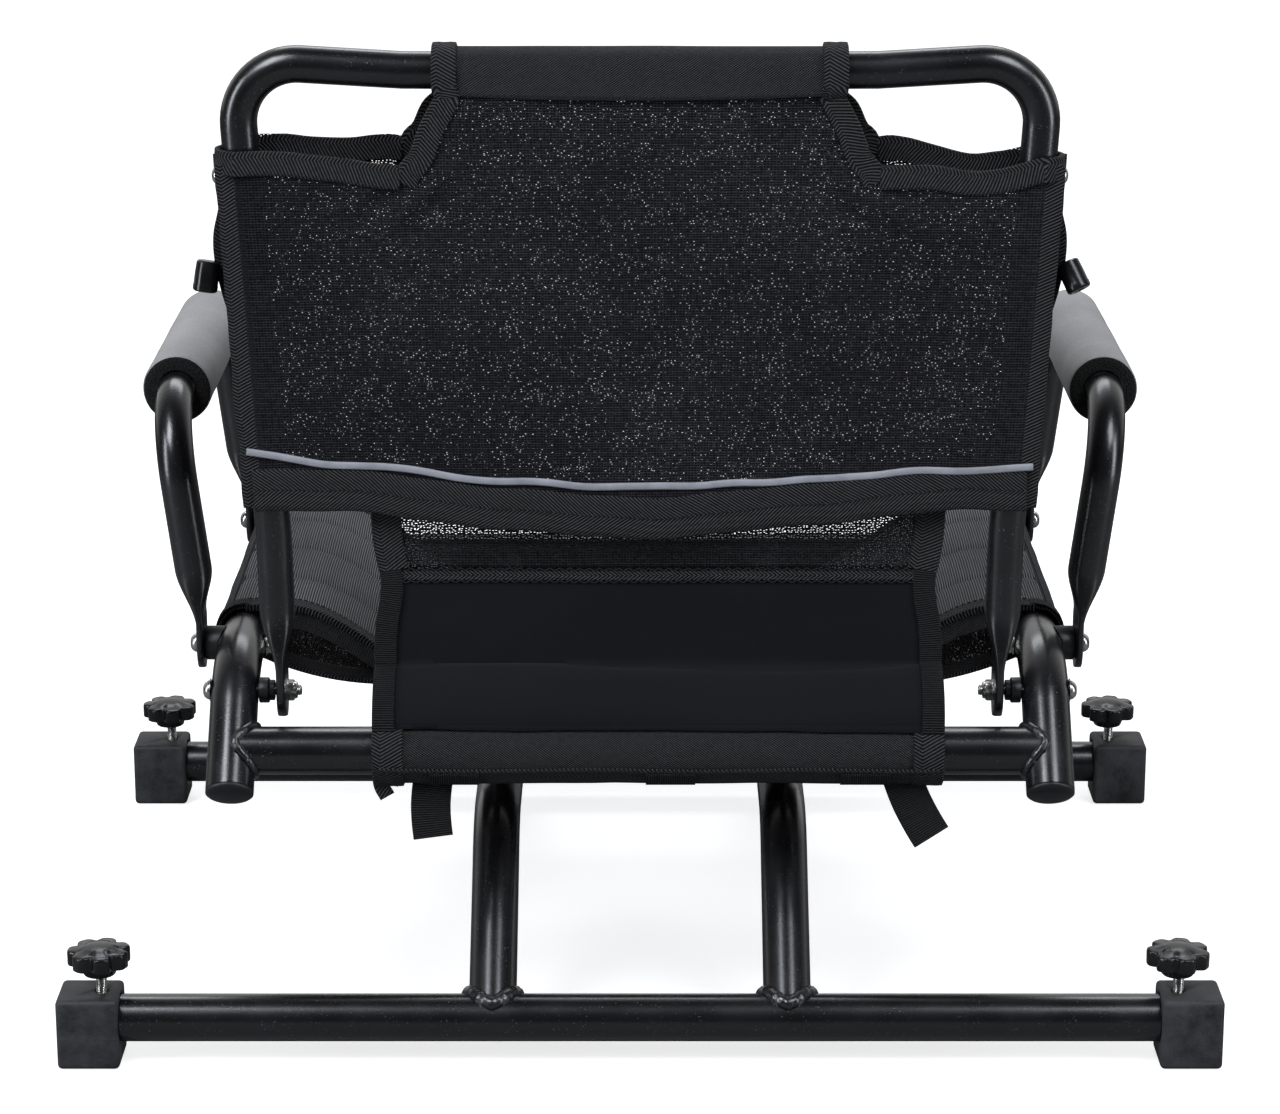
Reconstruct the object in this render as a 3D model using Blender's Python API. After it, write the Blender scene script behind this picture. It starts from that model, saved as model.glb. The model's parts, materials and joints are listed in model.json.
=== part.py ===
"""Low folding seat with armrests that swivels on a tubular sled base with four clamp feet.

Metres, +Z up, floor at z = 0, swivel axis on the Z axis. The sitter faces -Y, so +X is the
sitter's left. Every separate physical piece is its own object.
"""

import math

import bmesh
import bpy
from mathutils import Matrix, Vector

# ---- driving dimensions -------------------------------------------------------------------

GAP = 0.0003                # air left between pieces that touch or are welded
TUBE_R = 0.0127             # one inch round tube: base bars, legs, seat rails, cross tubes
TUBE_WALL = 0.0015
SUPPORT_R = 0.0095          # tubes that carry the seat on the swivel plate
BACK_TUBE_R = 0.0095
ARM_TUBE_R = 0.010

BAR_Y = 0.2055              # half the distance between the two base bars
BAR_Z = 0.0235              # bar axis above the floor
BAR_HALF_LENGTH = 0.3008
LEG_X = 0.0785              # the two legs and the two seat supports stand this far out
LEG_TOP_Z = 0.1055
LEG_SLOPE = math.radians(43)
LEG_BEND_R = 0.050

RAIL_X = 0.215
RAIL_Z = 0.2045
RAIL_END_Y = 0.2015
RAIL_END_Z = 0.1495
RAIL_SLOPE = math.radians(47)
RAIL_BEND_R = 0.060
CROSS_Y = 0.1855            # cross tubes that join the bent down rail ends
SUPPORT_SLOPE = math.radians(30)
SUPPORT_BEND_R = 0.040
CAP_PLUG = 0.010            # part of a rail cap inside its tube
CAP_DOME = 0.0039

BLOCK_WIDTH = 0.033
BLOCK_DEPTH = 0.032
BLOCK_HEIGHT = 0.039
BLOCK_BORE_DEPTH = 0.028
BLOCK_ROUNDING = 0.002
REAR_BLOCK_INNER_X = 0.2757
FRONT_BLOCK_INNER_X = 0.2877
STUD_FROM_INNER_FACE = 0.010
STUD_R = 0.003
BOLT_R = 0.003
HOLE_R = BOLT_R + GAP
BOLT_HEAD_R = 0.0052
BOLT_HEAD = 0.0038
NUT_CORNER_R = 0.0058
ARM_BOLT_LENGTHS = {"rear": 0.046, "front": 0.024}
ARM_NUT_THICK = 0.005
BACK_BOLT_LENGTH = 0.0485
BACK_NUT_THICK = 0.0062

KNOB_R = 0.0175
KNOB_LOBES = 7
KNOB_BOSS_R = 0.0095
KNOB_BOSS_HEIGHT = 0.0055
KNOB_RIM_HEIGHT = 0.0086
KNOB_DOME = 0.0026
STUD_SHOWING = 0.0095       # stud seen between the block and the knob's boss

PLATE_SIZE = 0.178
PLATE_THICK = 0.003
PLATE_CORNER_R = 0.012
SLIP_RING_R = 0.060
SLIP_RING_BORE_R = 0.030
SLIP_RING_HEIGHT = 0.0094
PIN_R = 0.006
PIN_HEAD = 0.003

BACK_PIVOT_Y = 0.1605
BACK_LEAN = math.radians(1.5)
BACK_BLADE_X = 0.19085
BACK_BLADE_HALF = 0.0026
BACK_BLADE_WIDE = 0.0140
BACK_LOW_X = 0.1930         # upright axis at the cover's lower edge
BACK_HIGH_X = 0.2045        # upright axis just under the top bends
BACK_HIGH = 0.308           # that point's height above the pivot
BACK_TOP = 0.339            # top tube's axis above the pivot, at its corners
BACK_TOP_DIP = 0.005        # how much lower the top tube is in the middle
BACK_BEND_R = 0.030
BLADE_TO = 0.014            # the flattened ends reach this far above the pivot
BLADE_ROUND_FROM = 0.046    # and the tube is fully round from here
SPACER_R = 0.0068
SPACER_COLLAR_R = 0.0055

ARM_BLADE_X = 0.237
ARM_BLADE_HALF = 0.002
ARM_BLADE_WIDE = 0.0135
ARM_TOP_X = 0.2515
ARM_TOP_Z = 0.3345
ARM_REAR_Y = 0.1165
ARM_FRONT_Y = -0.1455
ARM_BEND_R = 0.042
ARM_FLAT_TO_Z = 0.2185      # the flattened ends reach up to here
ARM_ROUND_FROM_Z = 0.2420   # and the tube is fully round from here
SADDLE_R = 0.0095           # plastic saddle between armrest and rail
GRIP_R = 0.0188

SEAT_REAR_Y = 0.0975
SEAT_FRONT_Y = -0.1305
SEAT_SAG = 0.054
SEAT_SAG_POWER = 2.35
SEAT_CLOTH = 0.0022
SEAT_WRAP = math.radians(205)   # how far round each rail the cloth goes
SEAT_LAYER_GAP = 0.0050     # drop from the seat to the layer below it, in the middle

COVER_CLOTH = 0.0016
COVER_LOW = 0.0890          # cover's lower edge above the back pivot
COVER_SHOULDER = 0.2900
COVER_DIP = 0.2720          # lowest point of the cover's edge under each hand hole
COVER_SLEEVE_HALF = 0.109
COVER_HIP = 0.155           # heights of the rings that shape the bag
COVER_RIB = 0.221
HAND_HOLE_OUTER_X = 0.2345
SCREW_HEIGHT = 0.278
SCREW_HEAD_R = 0.0046
SCREW_R = 0.002
SCREW_LENGTH = 0.009
TOGGLE_X = 0.2225
TOGGLE_HEIGHT = 0.225
TOGGLE_R = 0.0063
TOGGLE_LENGTH = 0.016
PANEL_REACH = {"left": 0.140, "right": 0.159}
PANEL_CLOTH = 0.0018
CLOTH_SLACK = 0.0006        # extra air between a cloth sleeve and the tube it goes round
PANEL_LAP = 0.010           # how far the panel reaches up inside the cover
PANEL_SLOPE_FROM = 0.045    # below this the panel runs straight to the rear cross tube
STRAP_CENTRES = {"left": 0.1088, "right": -0.1440}
STRAP_HALF_WIDTH = 0.0105
STRAP_THICK = 0.0014
STRAP_CLEAR_OF_PLATE = 0.0035

ROUND = 14                  # sides of a round tube
SMALL_ROUND = 12            # sides of a bolt, nut or pin
SIDES = {"left": 1, "right": -1}
ENDS = {"rear": 1, "front": -1}
X_AXIS = Vector((1, 0, 0))
Y_AXIS = Vector((0, 1, 0))
Z_AXIS = Vector((0, 0, 1))

# ---- worked out from the driving dimensions -------------------------------------------------

LOWER_PLATE_Z = LEG_TOP_Z + TUBE_R + GAP
SLIP_RING_Z = LOWER_PLATE_Z + PLATE_THICK + GAP
UPPER_PLATE_Z = SLIP_RING_Z + SLIP_RING_HEIGHT + GAP
SUPPORT_Z = UPPER_PLATE_Z + PLATE_THICK + GAP + SUPPORT_R
CROSS_Z = RAIL_END_Z + (RAIL_END_Y - CROSS_Y) * math.tan(RAIL_SLOPE)
RAIL_KNEE_Y = RAIL_END_Y - (RAIL_Z - RAIL_END_Z) / math.tan(RAIL_SLOPE)
SEAT_SPAN_X = RAIL_X - TUBE_R * 1.6     # half the free span of the seat between the rails


# ---- materials ------------------------------------------------------------------------------

def material(name, colour, roughness, metallic=0.0):
    made = bpy.data.materials.new(name)
    made.use_nodes = True
    shader = made.node_tree.nodes["Principled BSDF"]
    shader.inputs["Base Color"].default_value = (*colour, 1.0)
    shader.inputs["Roughness"].default_value = roughness
    shader.inputs["Metallic"].default_value = metallic
    made.diffuse_color = (*colour, 1.0)
    return made


# ---- mesh helpers ---------------------------------------------------------------------------

def add_object(name, mesh_builder, look, parent=None, origin=(0, 0, 0)):
    """Turn a bmesh drawn in world coordinates into an object whose origin is the given point."""
    bmesh.ops.recalc_face_normals(mesh_builder, faces=mesh_builder.faces)
    bmesh.ops.translate(mesh_builder, verts=mesh_builder.verts, vec=-Vector(origin))
    mesh = bpy.data.meshes.new(name)
    mesh_builder.to_mesh(mesh)
    mesh_builder.free()
    mesh.materials.append(look)
    mesh.shade_smooth()
    mesh.set_sharp_from_angle(angle=math.radians(35))
    made = bpy.data.objects.new(name, mesh)
    bpy.context.collection.objects.link(made)
    made.location = origin
    if parent is not None:
        made.parent = parent
        made.matrix_parent_inverse = Matrix.Translation(-parent.location)
    return made


def add_pivot(name, place):
    """An empty that stands on a joint's axis; the pieces that turn on that joint hang from it."""
    empty = bpy.data.objects.new(name, None)
    empty.location = place
    bpy.context.collection.objects.link(empty)
    return empty


def cut(target, *cutters):
    """Take each cutter's shape out of the target."""
    for cutter in cutters:
        boolean = target.modifiers.new("cut_" + cutter.name, "BOOLEAN")
        boolean.operation = "DIFFERENCE"
        boolean.solver = "EXACT"
        boolean.object = cutter


def cutter_from(name, mesh_builder):
    bmesh.ops.recalc_face_normals(mesh_builder, faces=mesh_builder.faces)
    mesh = bpy.data.meshes.new(name)
    mesh_builder.to_mesh(mesh)
    mesh_builder.free()
    made = bpy.data.objects.new(name, mesh)
    bpy.context.collection.objects.link(made)
    made.hide_render = True
    made.display_type = "WIRE"
    return made


def bridge(mesh_builder, rings, closed=False):
    """Join each ring of vertices to the next one with faces."""
    pairs = list(zip(rings, rings[1:]))
    if closed:
        pairs.append((rings[-1], rings[0]))
    for low, high in pairs:
        count = len(low)
        for i in range(count):
            j = (i + 1) % count
            mesh_builder.faces.new((low[i], low[j], high[j], high[i]))


def filleted(corners, radius, steps=4):
    """A path through the corners with each inner corner rounded to the radius."""
    points = [Vector(corners[0])]
    for before, corner, after in zip(corners, corners[1:], corners[2:]):
        before, corner, after = Vector(before), Vector(corner), Vector(after)
        back = (before - corner).normalized()
        ahead = (after - corner).normalized()
        half = back.angle(ahead) / 2
        reach = radius / math.tan(half)
        centre = corner + (back + ahead).normalized() * (radius / math.sin(half))
        start = corner + back * reach - centre
        end = corner + ahead * reach - centre
        turn = start.angle(end)
        for i in range(steps + 1):
            t = i / steps
            spoke = start * math.sin((1 - t) * turn) + end * math.sin(t * turn)
            points.append(centre + spoke / math.sin(turn))
    points.append(Vector(corners[-1]))
    return points


def directions(points):
    """The path's direction at each point."""
    result = []
    for i in range(len(points)):
        low = points[max(i - 1, 0)]
        high = points[min(i + 1, len(points) - 1)]
        result.append((high - low).normalized())
    return result


def swept(points, side, sizes, segments=ROUND, wall=0.0):
    """A tube along the path. Each size is (half across the side axis, half along it)."""
    mesh_builder = bmesh.new()
    skins = [0.0, wall] if wall else [0.0]
    rings = {inset: [] for inset in skins}
    for point, direction, (half_side, half_other) in zip(points, directions(points), sizes):
        across = (side - side.dot(direction) * direction).normalized()
        other = direction.cross(across)
        flatness = 1 - min(half_side, half_other) / max(half_side, half_other)
        power = 2 / (2 + 3 * flatness)
        for inset in skins:
            ring = []
            for k in range(segments):
                angle = 2 * math.pi * k / segments
                c, s = math.cos(angle), math.sin(angle)
                u = math.copysign(abs(c) ** power, c) * (half_side - inset)
                v = math.copysign(abs(s) ** power, s) * (half_other - inset)
                ring.append(mesh_builder.verts.new(point + across * u + other * v))
            rings[inset].append(ring)
    for stack in rings.values():
        bridge(mesh_builder, stack)
    outer = rings[0.0]
    if wall:
        inner = rings[wall]
        bridge(mesh_builder, [outer[0], inner[0]])
        bridge(mesh_builder, [outer[-1], inner[-1]])
    else:
        mesh_builder.faces.new(outer[0])
        mesh_builder.faces.new(outer[-1])
    return mesh_builder


def round_tube(points, radius, side=X_AXIS, wall=0.0, segments=ROUND):
    return swept(points, side, [(radius, radius)] * len(points), segments, wall)


def turned(profile, place, axis, segments=SMALL_ROUND):
    """Revolve (distance along axis, radius) points. A profile that starts and ends at
    radius 0 gives a solid; any other is closed on itself and leaves a hole."""
    mesh_builder = bmesh.new()
    frame = axis.to_track_quat("Z", "Y").to_matrix()
    solid = profile[0][1] == 0.0
    rings = []
    for along, radius in (profile[1:-1] if solid else profile):
        ring = []
        for k in range(segments):
            angle = 2 * math.pi * k / segments
            spoke = Vector((math.cos(angle) * radius, math.sin(angle) * radius, along))
            ring.append(mesh_builder.verts.new(place + frame @ spoke))
        rings.append(ring)
    bridge(mesh_builder, rings, closed=not solid)
    if solid:
        for ring, (along, _) in ((rings[0], profile[0]), (rings[-1], profile[-1])):
            tip = mesh_builder.verts.new(place + frame @ Vector((0, 0, along)))
            for i in range(segments):
                mesh_builder.faces.new((ring[i], ring[(i + 1) % segments], tip))
    return mesh_builder


def rod(place, axis, radius, length, segments=SMALL_ROUND):
    """A plain cylinder that starts at the place and runs along the axis."""
    profile = [(0, 0.0), (0, radius), (length, radius), (length, 0.0)]
    return turned(profile, Vector(place), axis, segments)


def washer_like(place, axis, steps, bore_r, segments=SMALL_ROUND):
    """A ring with a bore. Steps are (distance along axis, outer radius)."""
    profile = list(steps) + [(steps[-1][0], bore_r), (steps[0][0], bore_r)]
    return turned(profile, Vector(place), axis, segments)


def plate(outline, low, high, axis="Z"):
    """A flat solid: the outline, drawn in the plane across the axis, pulled from low to high."""
    mesh_builder = bmesh.new()
    rings = []
    for level in (low, high):
        if axis == "Z":
            points = [(a, b, level) for a, b in outline]
        elif axis == "Y":
            points = [(a, level, b) for a, b in outline]
        else:
            points = [(level, a, b) for a, b in outline]
        rings.append([mesh_builder.verts.new(p) for p in points])
    bridge(mesh_builder, rings)
    mesh_builder.faces.new(rings[0])
    mesh_builder.faces.new(rings[1])
    return mesh_builder


def strip_outline(path, thickness):
    """The outline of a strip of cloth whose middle line is the path of (a, b) points."""
    points = [Vector((a, b, 0)) for a, b in path]
    near, far = [], []
    for point, direction in zip(points, directions(points)):
        normal = direction.cross(Z_AXIS) * (thickness / 2)
        near.append((point + normal).xy[:])
        far.append((point - normal).xy[:])
    return near + far[::-1]


# ---- paths shared by pieces and their cutters -----------------------------------------------

def rail_path(side):
    x = RAIL_X * side
    corners = [
        (x, RAIL_END_Y, RAIL_END_Z),
        (x, RAIL_KNEE_Y, RAIL_Z),
        (x, -RAIL_KNEE_Y, RAIL_Z),
        (x, -RAIL_END_Y, RAIL_END_Z),
    ]
    return filleted(corners, RAIL_BEND_R)


def rail_height_at(y):
    """Height of the rail's axis at the given distance along the seat."""
    path = rail_path(1)
    for a, b in zip(path, path[1:]):
        if b.y <= y <= a.y:
            return a.z + (b.z - a.z) * (a.y - y) / (a.y - b.y)
    return RAIL_Z


BACK_PIVOT_Z = rail_height_at(BACK_PIVOT_Y)
BACK_PIVOT = Vector((0, BACK_PIVOT_Y, BACK_PIVOT_Z))


def on_back(x, height, forward=0.0):
    """A point on the leaning back, from its sideways place and height above the pivot."""
    lean = Vector((0, math.sin(BACK_LEAN), math.cos(BACK_LEAN)))
    towards_front = Vector((0, -math.cos(BACK_LEAN), math.sin(BACK_LEAN)))
    return BACK_PIVOT + X_AXIS * x + lean * height + towards_front * forward


def upright_x(height):
    """Sideways place of the back's upright at a height above the pivot."""
    share = min(max((height - COVER_LOW) / (BACK_HIGH - COVER_LOW), 0), 1)
    return BACK_LOW_X + (BACK_HIGH_X - BACK_LOW_X) * share


def blade_end(point, towards_tip, wide, half, steps=4):
    """Points and sizes of a flattened tube end whose rounded tip is centred on the point."""
    made = []
    for i in range(steps, -1, -1):
        angle = math.radians(80) * i / steps
        made.append((
            point + towards_tip * (wide * math.sin(angle)),
            (half, wide * math.cos(angle)),
        ))
    return made


# ---- base -----------------------------------------------------------------------------------

def build_base(looks):
    bar_cutters = []
    for end, sign in ENDS.items():
        y = BAR_Y * sign
        ends = [Vector((-BAR_HALF_LENGTH, y, BAR_Z)), Vector((BAR_HALF_LENGTH, y, BAR_Z))]
        bar = round_tube(ends, TUBE_R, Y_AXIS, TUBE_WALL)
        add_object(end + "_bar", bar, looks["tube"])
        clear = round_tube(ends, TUBE_R + GAP, Y_AXIS)
        bar_cutters.append(cutter_from("cutter_" + end + "_bar", clear))
    knee_y = BAR_Y - (LEG_TOP_Z - BAR_Z) / math.tan(LEG_SLOPE)
    for side, sign in SIDES.items():
        x = LEG_X * sign
        corners = [(x, BAR_Y, BAR_Z), (x, knee_y, LEG_TOP_Z),
                   (x, -knee_y, LEG_TOP_Z), (x, -BAR_Y, BAR_Z)]
        leg = round_tube(filleted(corners, LEG_BEND_R), TUBE_R, wall=TUBE_WALL)
        made = add_object("leg_" + side, leg, looks["tube"])
        cut(made, *bar_cutters)


def build_swivel(looks, seat_pivot):
    middle = PLATE_SIZE / 2 - PLATE_CORNER_R
    outline = []
    for quarter in range(4):
        angle = math.pi / 2 * quarter
        for step in range(4):
            turn = angle + math.pi / 2 * step / 3
            corner_x = math.copysign(middle, math.cos(angle + math.pi / 4))
            corner_y = math.copysign(middle, math.sin(angle + math.pi / 4))
            outline.append((corner_x + PLATE_CORNER_R * math.cos(turn),
                            corner_y + PLATE_CORNER_R * math.sin(turn)))
    stack = {"swivel_lower_plate": (LOWER_PLATE_Z, None),
             "swivel_upper_plate": (UPPER_PLATE_Z, seat_pivot)}
    drill_bottom = LOWER_PLATE_Z - PLATE_THICK
    drill_length = UPPER_PLATE_Z + 2 * PLATE_THICK - drill_bottom
    drill = cutter_from("cutter_pin", rod((0, 0, drill_bottom), Z_AXIS, PIN_R + GAP,
                                          drill_length))
    for name, (bottom, parent) in stack.items():
        made = add_object(name, plate(outline, bottom, bottom + PLATE_THICK),
                          looks["tube"], parent)
        cut(made, drill)
    ring = washer_like((0, 0, SLIP_RING_Z), Z_AXIS,
                       [(0, SLIP_RING_R), (SLIP_RING_HEIGHT, SLIP_RING_R)],
                       SLIP_RING_BORE_R, segments=24)
    add_object("swivel_slip_ring", ring, looks["slip_ring"])
    head_r = PIN_R * 2
    top = UPPER_PLATE_Z + PLATE_THICK + GAP
    bottom = LOWER_PLATE_Z - GAP
    pin = turned([(bottom - PIN_HEAD, 0.0), (bottom - PIN_HEAD, head_r * 0.8),
                  (bottom, head_r), (bottom, PIN_R), (top, PIN_R), (top, head_r),
                  (top + PIN_HEAD, head_r * 0.8), (top + PIN_HEAD, 0.0)],
                 Vector((0, 0, 0)), Z_AXIS)
    add_object("swivel_pin", pin, looks["steel"])


# ---- clamp feet -----------------------------------------------------------------------------

def block_body(inner_x, sign, y):
    centre_x = (inner_x + BLOCK_WIDTH / 2) * sign
    mesh_builder = bmesh.new()
    bmesh.ops.create_cube(mesh_builder, size=1)
    bmesh.ops.scale(mesh_builder, verts=mesh_builder.verts,
                    vec=(BLOCK_WIDTH, BLOCK_DEPTH, BLOCK_HEIGHT))
    bmesh.ops.translate(mesh_builder, verts=mesh_builder.verts,
                        vec=(centre_x, y, BLOCK_HEIGHT / 2))
    bmesh.ops.bevel(mesh_builder, geom=mesh_builder.edges[:], offset=BLOCK_ROUNDING,
                    segments=2, affect="EDGES", profile=0.5)
    return mesh_builder


def knob_body(place):
    """A star knob: round boss, lobed rim and a shallow dome."""
    mesh_builder = bmesh.new()
    count = KNOB_LOBES * 4
    rim = KNOB_BOSS_HEIGHT + KNOB_RIM_HEIGHT
    levels = [
        (0.0, KNOB_BOSS_R * 0.9, 0.0),
        (KNOB_BOSS_HEIGHT, KNOB_BOSS_R, 0.0),
        (KNOB_BOSS_HEIGHT, KNOB_R * 0.90, 0.9),
        (KNOB_BOSS_HEIGHT + 0.0015, KNOB_R, 1.0),
        (rim - 0.0012, KNOB_R, 1.0),
        (rim, KNOB_R * 0.94, 1.0),
        (rim + KNOB_DOME * 0.45, KNOB_R * 0.74, 0.5),
        (rim + KNOB_DOME * 0.85, KNOB_R * 0.42, 0.0),
        (rim + KNOB_DOME, KNOB_R * 0.12, 0.0),
    ]
    rings = []
    for height, radius, lobes in levels:
        ring = []
        for k in range(count):
            angle = 2 * math.pi * k / count
            notch = lobes * KNOB_R * 0.17 * (0.5 - 0.5 * math.cos(KNOB_LOBES * angle)) ** 1.5
            r = radius - notch
            ring.append(mesh_builder.verts.new(
                place + Vector((math.cos(angle) * r, math.sin(angle) * r, height))))
        rings.append(ring)
    bridge(mesh_builder, rings)
    mesh_builder.faces.new(rings[0])
    mesh_builder.faces.new(rings[-1])
    return mesh_builder


def build_clamp_feet(looks):
    inner_faces = {"rear": REAR_BLOCK_INNER_X, "front": FRONT_BLOCK_INNER_X}
    for end, end_sign in ENDS.items():
        for side, side_sign in SIDES.items():
            place = "_" + end + "_" + side
            y = BAR_Y * end_sign
            inner_x = inner_faces[end]
            stud_x = (inner_x + STUD_FROM_INNER_FACE) * side_sign
            outward = X_AXIS * side_sign
            block = add_object("foot_block" + place, block_body(inner_x, side_sign, y),
                               looks["block"], origin=(stud_x, y, BAR_Z))
            bore_from = Vector((inner_x * side_sign, y, BAR_Z)) - outward * TUBE_R
            bore = rod(bore_from, outward, TUBE_R + GAP, BLOCK_BORE_DEPTH + TUBE_R, ROUND)
            drill = rod((stud_x, y, BAR_Z), Z_AXIS, HOLE_R, BLOCK_HEIGHT)
            cut(block, cutter_from("cutter_bore" + place, bore),
                cutter_from("cutter_drill" + place, drill))
            stud_bottom = BAR_Z + TUBE_R + GAP
            boss_bottom = BLOCK_HEIGHT + STUD_SHOWING
            stud = rod((stud_x, y, stud_bottom), Z_AXIS, STUD_R,
                       boss_bottom - stud_bottom - GAP)
            add_object("clamp_stud" + place, stud, looks["steel"], parent=block,
                       origin=(stud_x, y, stud_bottom))
            knob = knob_body(Vector((stud_x, y, boss_bottom)))
            add_object("star_knob" + place, knob, looks["knob"], parent=block,
                       origin=(stud_x, y, boss_bottom))


# ---- seat frame -----------------------------------------------------------------------------

def build_seat_frame(looks, seat_pivot):
    rail_cutters = []
    cross_cutters = []
    support_cutters = []
    for side, sign in SIDES.items():
        path = rail_path(sign)
        rail = add_object("seat_rail_" + side, round_tube(path, TUBE_R, wall=TUBE_WALL),
                          looks["tube"], seat_pivot)
        clear = cutter_from("cutter_rail_" + side, round_tube(path, TUBE_R + GAP))
        rail_cutters.append(clear)
        holes = {"back": (BACK_PIVOT_Y, BACK_PIVOT_Z),
                 "arm_rear": (ARM_REAR_Y, rail_height_at(ARM_REAR_Y)),
                 "arm_front": (ARM_FRONT_Y, rail_height_at(ARM_FRONT_Y))}
        for name, (y, z) in holes.items():
            start = Vector(((RAIL_X - TUBE_R * 2) * sign, y, z))
            drill = rod(start, X_AXIS * sign, HOLE_R, TUBE_R * 4)
            cut(rail, cutter_from("cutter_" + name + "_" + side, drill))
        for end, end_sign in ENDS.items():
            build_rail_cap(looks, seat_pivot, side, end)
    for end, end_sign in ENDS.items():
        y = CROSS_Y * end_sign
        ends = [Vector((-RAIL_X, y, CROSS_Z)), Vector((RAIL_X, y, CROSS_Z))]
        name = end + "_cross_tube"
        cross = add_object(name, round_tube(ends, TUBE_R, Y_AXIS, TUBE_WALL),
                           looks["tube"], seat_pivot)
        cut(cross, *rail_cutters)
        clear = round_tube(ends, TUBE_R + GAP, Y_AXIS)
        cross_cutters.append(cutter_from("cutter_" + name, clear))
    knee_y = CROSS_Y - (CROSS_Z - SUPPORT_Z) / math.tan(SUPPORT_SLOPE)
    for side, sign in SIDES.items():
        x = LEG_X * sign
        corners = [(x, CROSS_Y, CROSS_Z), (x, knee_y, SUPPORT_Z),
                   (x, -knee_y, SUPPORT_Z), (x, -CROSS_Y, CROSS_Z)]
        path = filleted(corners, SUPPORT_BEND_R)
        made = add_object("seat_support_" + side, round_tube(path, SUPPORT_R),
                          looks["tube"], seat_pivot)
        cut(made, *cross_cutters)
        notch = round_tube(path, SUPPORT_R + CLOTH_SLACK * 2)
        support_cutters.append(cutter_from("cutter_support_" + side, notch))
    return rail_cutters, support_cutters


def build_rail_cap(looks, seat_pivot, side, end):
    """A plastic plug with a domed head in the open end of a rail."""
    down = Vector((0, math.cos(RAIL_SLOPE) * ENDS[end], -math.sin(RAIL_SLOPE)))
    mouth = Vector((RAIL_X * SIDES[side], RAIL_END_Y * ENDS[end], RAIL_END_Z))
    plug_r = TUBE_R - TUBE_WALL - GAP
    profile = [(-CAP_PLUG, 0.0), (-CAP_PLUG, plug_r), (GAP, plug_r), (GAP, TUBE_R),
               (CAP_DOME * 0.4, TUBE_R), (CAP_DOME * 0.82, TUBE_R * 0.72),
               (CAP_DOME * 0.97, TUBE_R * 0.35), (CAP_DOME, 0.0)]
    add_object("rail_cap_" + end + "_" + side, turned(profile, mouth, down, ROUND),
               looks["cap"], seat_pivot)


# ---- fasteners ------------------------------------------------------------------------------

def button_bolt(under_head, axis, length):
    """A button head screw. The axis points from under the head towards the tip."""
    profile = [(-BOLT_HEAD, 0.0), (-BOLT_HEAD, BOLT_HEAD_R * 0.55),
               (-BOLT_HEAD * 0.45, BOLT_HEAD_R * 0.92), (0.0, BOLT_HEAD_R),
               (0.0, BOLT_R), (length, BOLT_R), (length, 0.0)]
    return turned(profile, Vector(under_head), axis)


def lock_nut(place, axis, thick):
    """A hexagon nut with a washer face, bored to clear its bolt."""
    mesh_builder = bmesh.new()
    frame = axis.to_track_quat("Z", "Y").to_matrix()
    washer_r = NUT_CORNER_R * 1.12
    levels = [(0.0, washer_r), (thick * 0.2, washer_r), (thick * 0.2, NUT_CORNER_R),
              (thick, NUT_CORNER_R), (thick, HOLE_R), (0.0, HOLE_R)]
    rings = []
    for along, radius in levels:
        ring = []
        for k in range(SMALL_ROUND):
            angle = 2 * math.pi * k / SMALL_ROUND
            flat = radius == NUT_CORNER_R and k % 2
            r = radius * math.cos(math.pi / 6) if flat else radius
            spoke = Vector((math.cos(angle) * r, math.sin(angle) * r, along))
            ring.append(mesh_builder.verts.new(place + frame @ spoke))
        rings.append(ring)
    bridge(mesh_builder, rings, closed=True)
    return mesh_builder


# ---- armrests -------------------------------------------------------------------------------

def arm_path(sign):
    """Points and section sizes of one armrest tube: flattened ends, bends and a level top."""
    x_low = ARM_BLADE_X * sign
    x_high = ARM_TOP_X * sign
    full = (ARM_TUBE_R, ARM_TUBE_R)
    rear_foot = Vector((x_low, ARM_REAR_Y, rail_height_at(ARM_REAR_Y)))
    front_foot = Vector((x_low, ARM_FRONT_Y, rail_height_at(ARM_FRONT_Y)))
    lean = (x_high - x_low) / (ARM_TOP_Z - ARM_FLAT_TO_Z)
    neck_x = x_low + lean * (ARM_ROUND_FROM_Z - ARM_FLAT_TO_Z)
    middle_x = (x_low + neck_x) / 2
    middle_z = (ARM_FLAT_TO_Z + ARM_ROUND_FROM_Z) / 2
    oval = (ARM_TUBE_R * 0.72, ARM_TUBE_R * 1.12)
    flat = (ARM_BLADE_HALF, ARM_BLADE_WIDE)
    path = blade_end(rear_foot, -Z_AXIS, ARM_BLADE_WIDE, ARM_BLADE_HALF)
    path.append((Vector((x_low, ARM_REAR_Y, ARM_FLAT_TO_Z)), flat))
    path.append((Vector((middle_x, ARM_REAR_Y, middle_z)), oval))
    corners = [(neck_x, ARM_REAR_Y, ARM_ROUND_FROM_Z), (x_high, ARM_REAR_Y, ARM_TOP_Z),
               (x_high, ARM_FRONT_Y, ARM_TOP_Z), (neck_x, ARM_FRONT_Y, ARM_ROUND_FROM_Z)]
    path += [(point, full) for point in filleted(corners, ARM_BEND_R, steps=5)]
    path.append((Vector((middle_x, ARM_FRONT_Y, middle_z)), oval))
    path.append((Vector((x_low, ARM_FRONT_Y, ARM_FLAT_TO_Z)), flat))
    path += blade_end(front_foot, -Z_AXIS, ARM_BLADE_WIDE, ARM_BLADE_HALF)[::-1]
    return path


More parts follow.
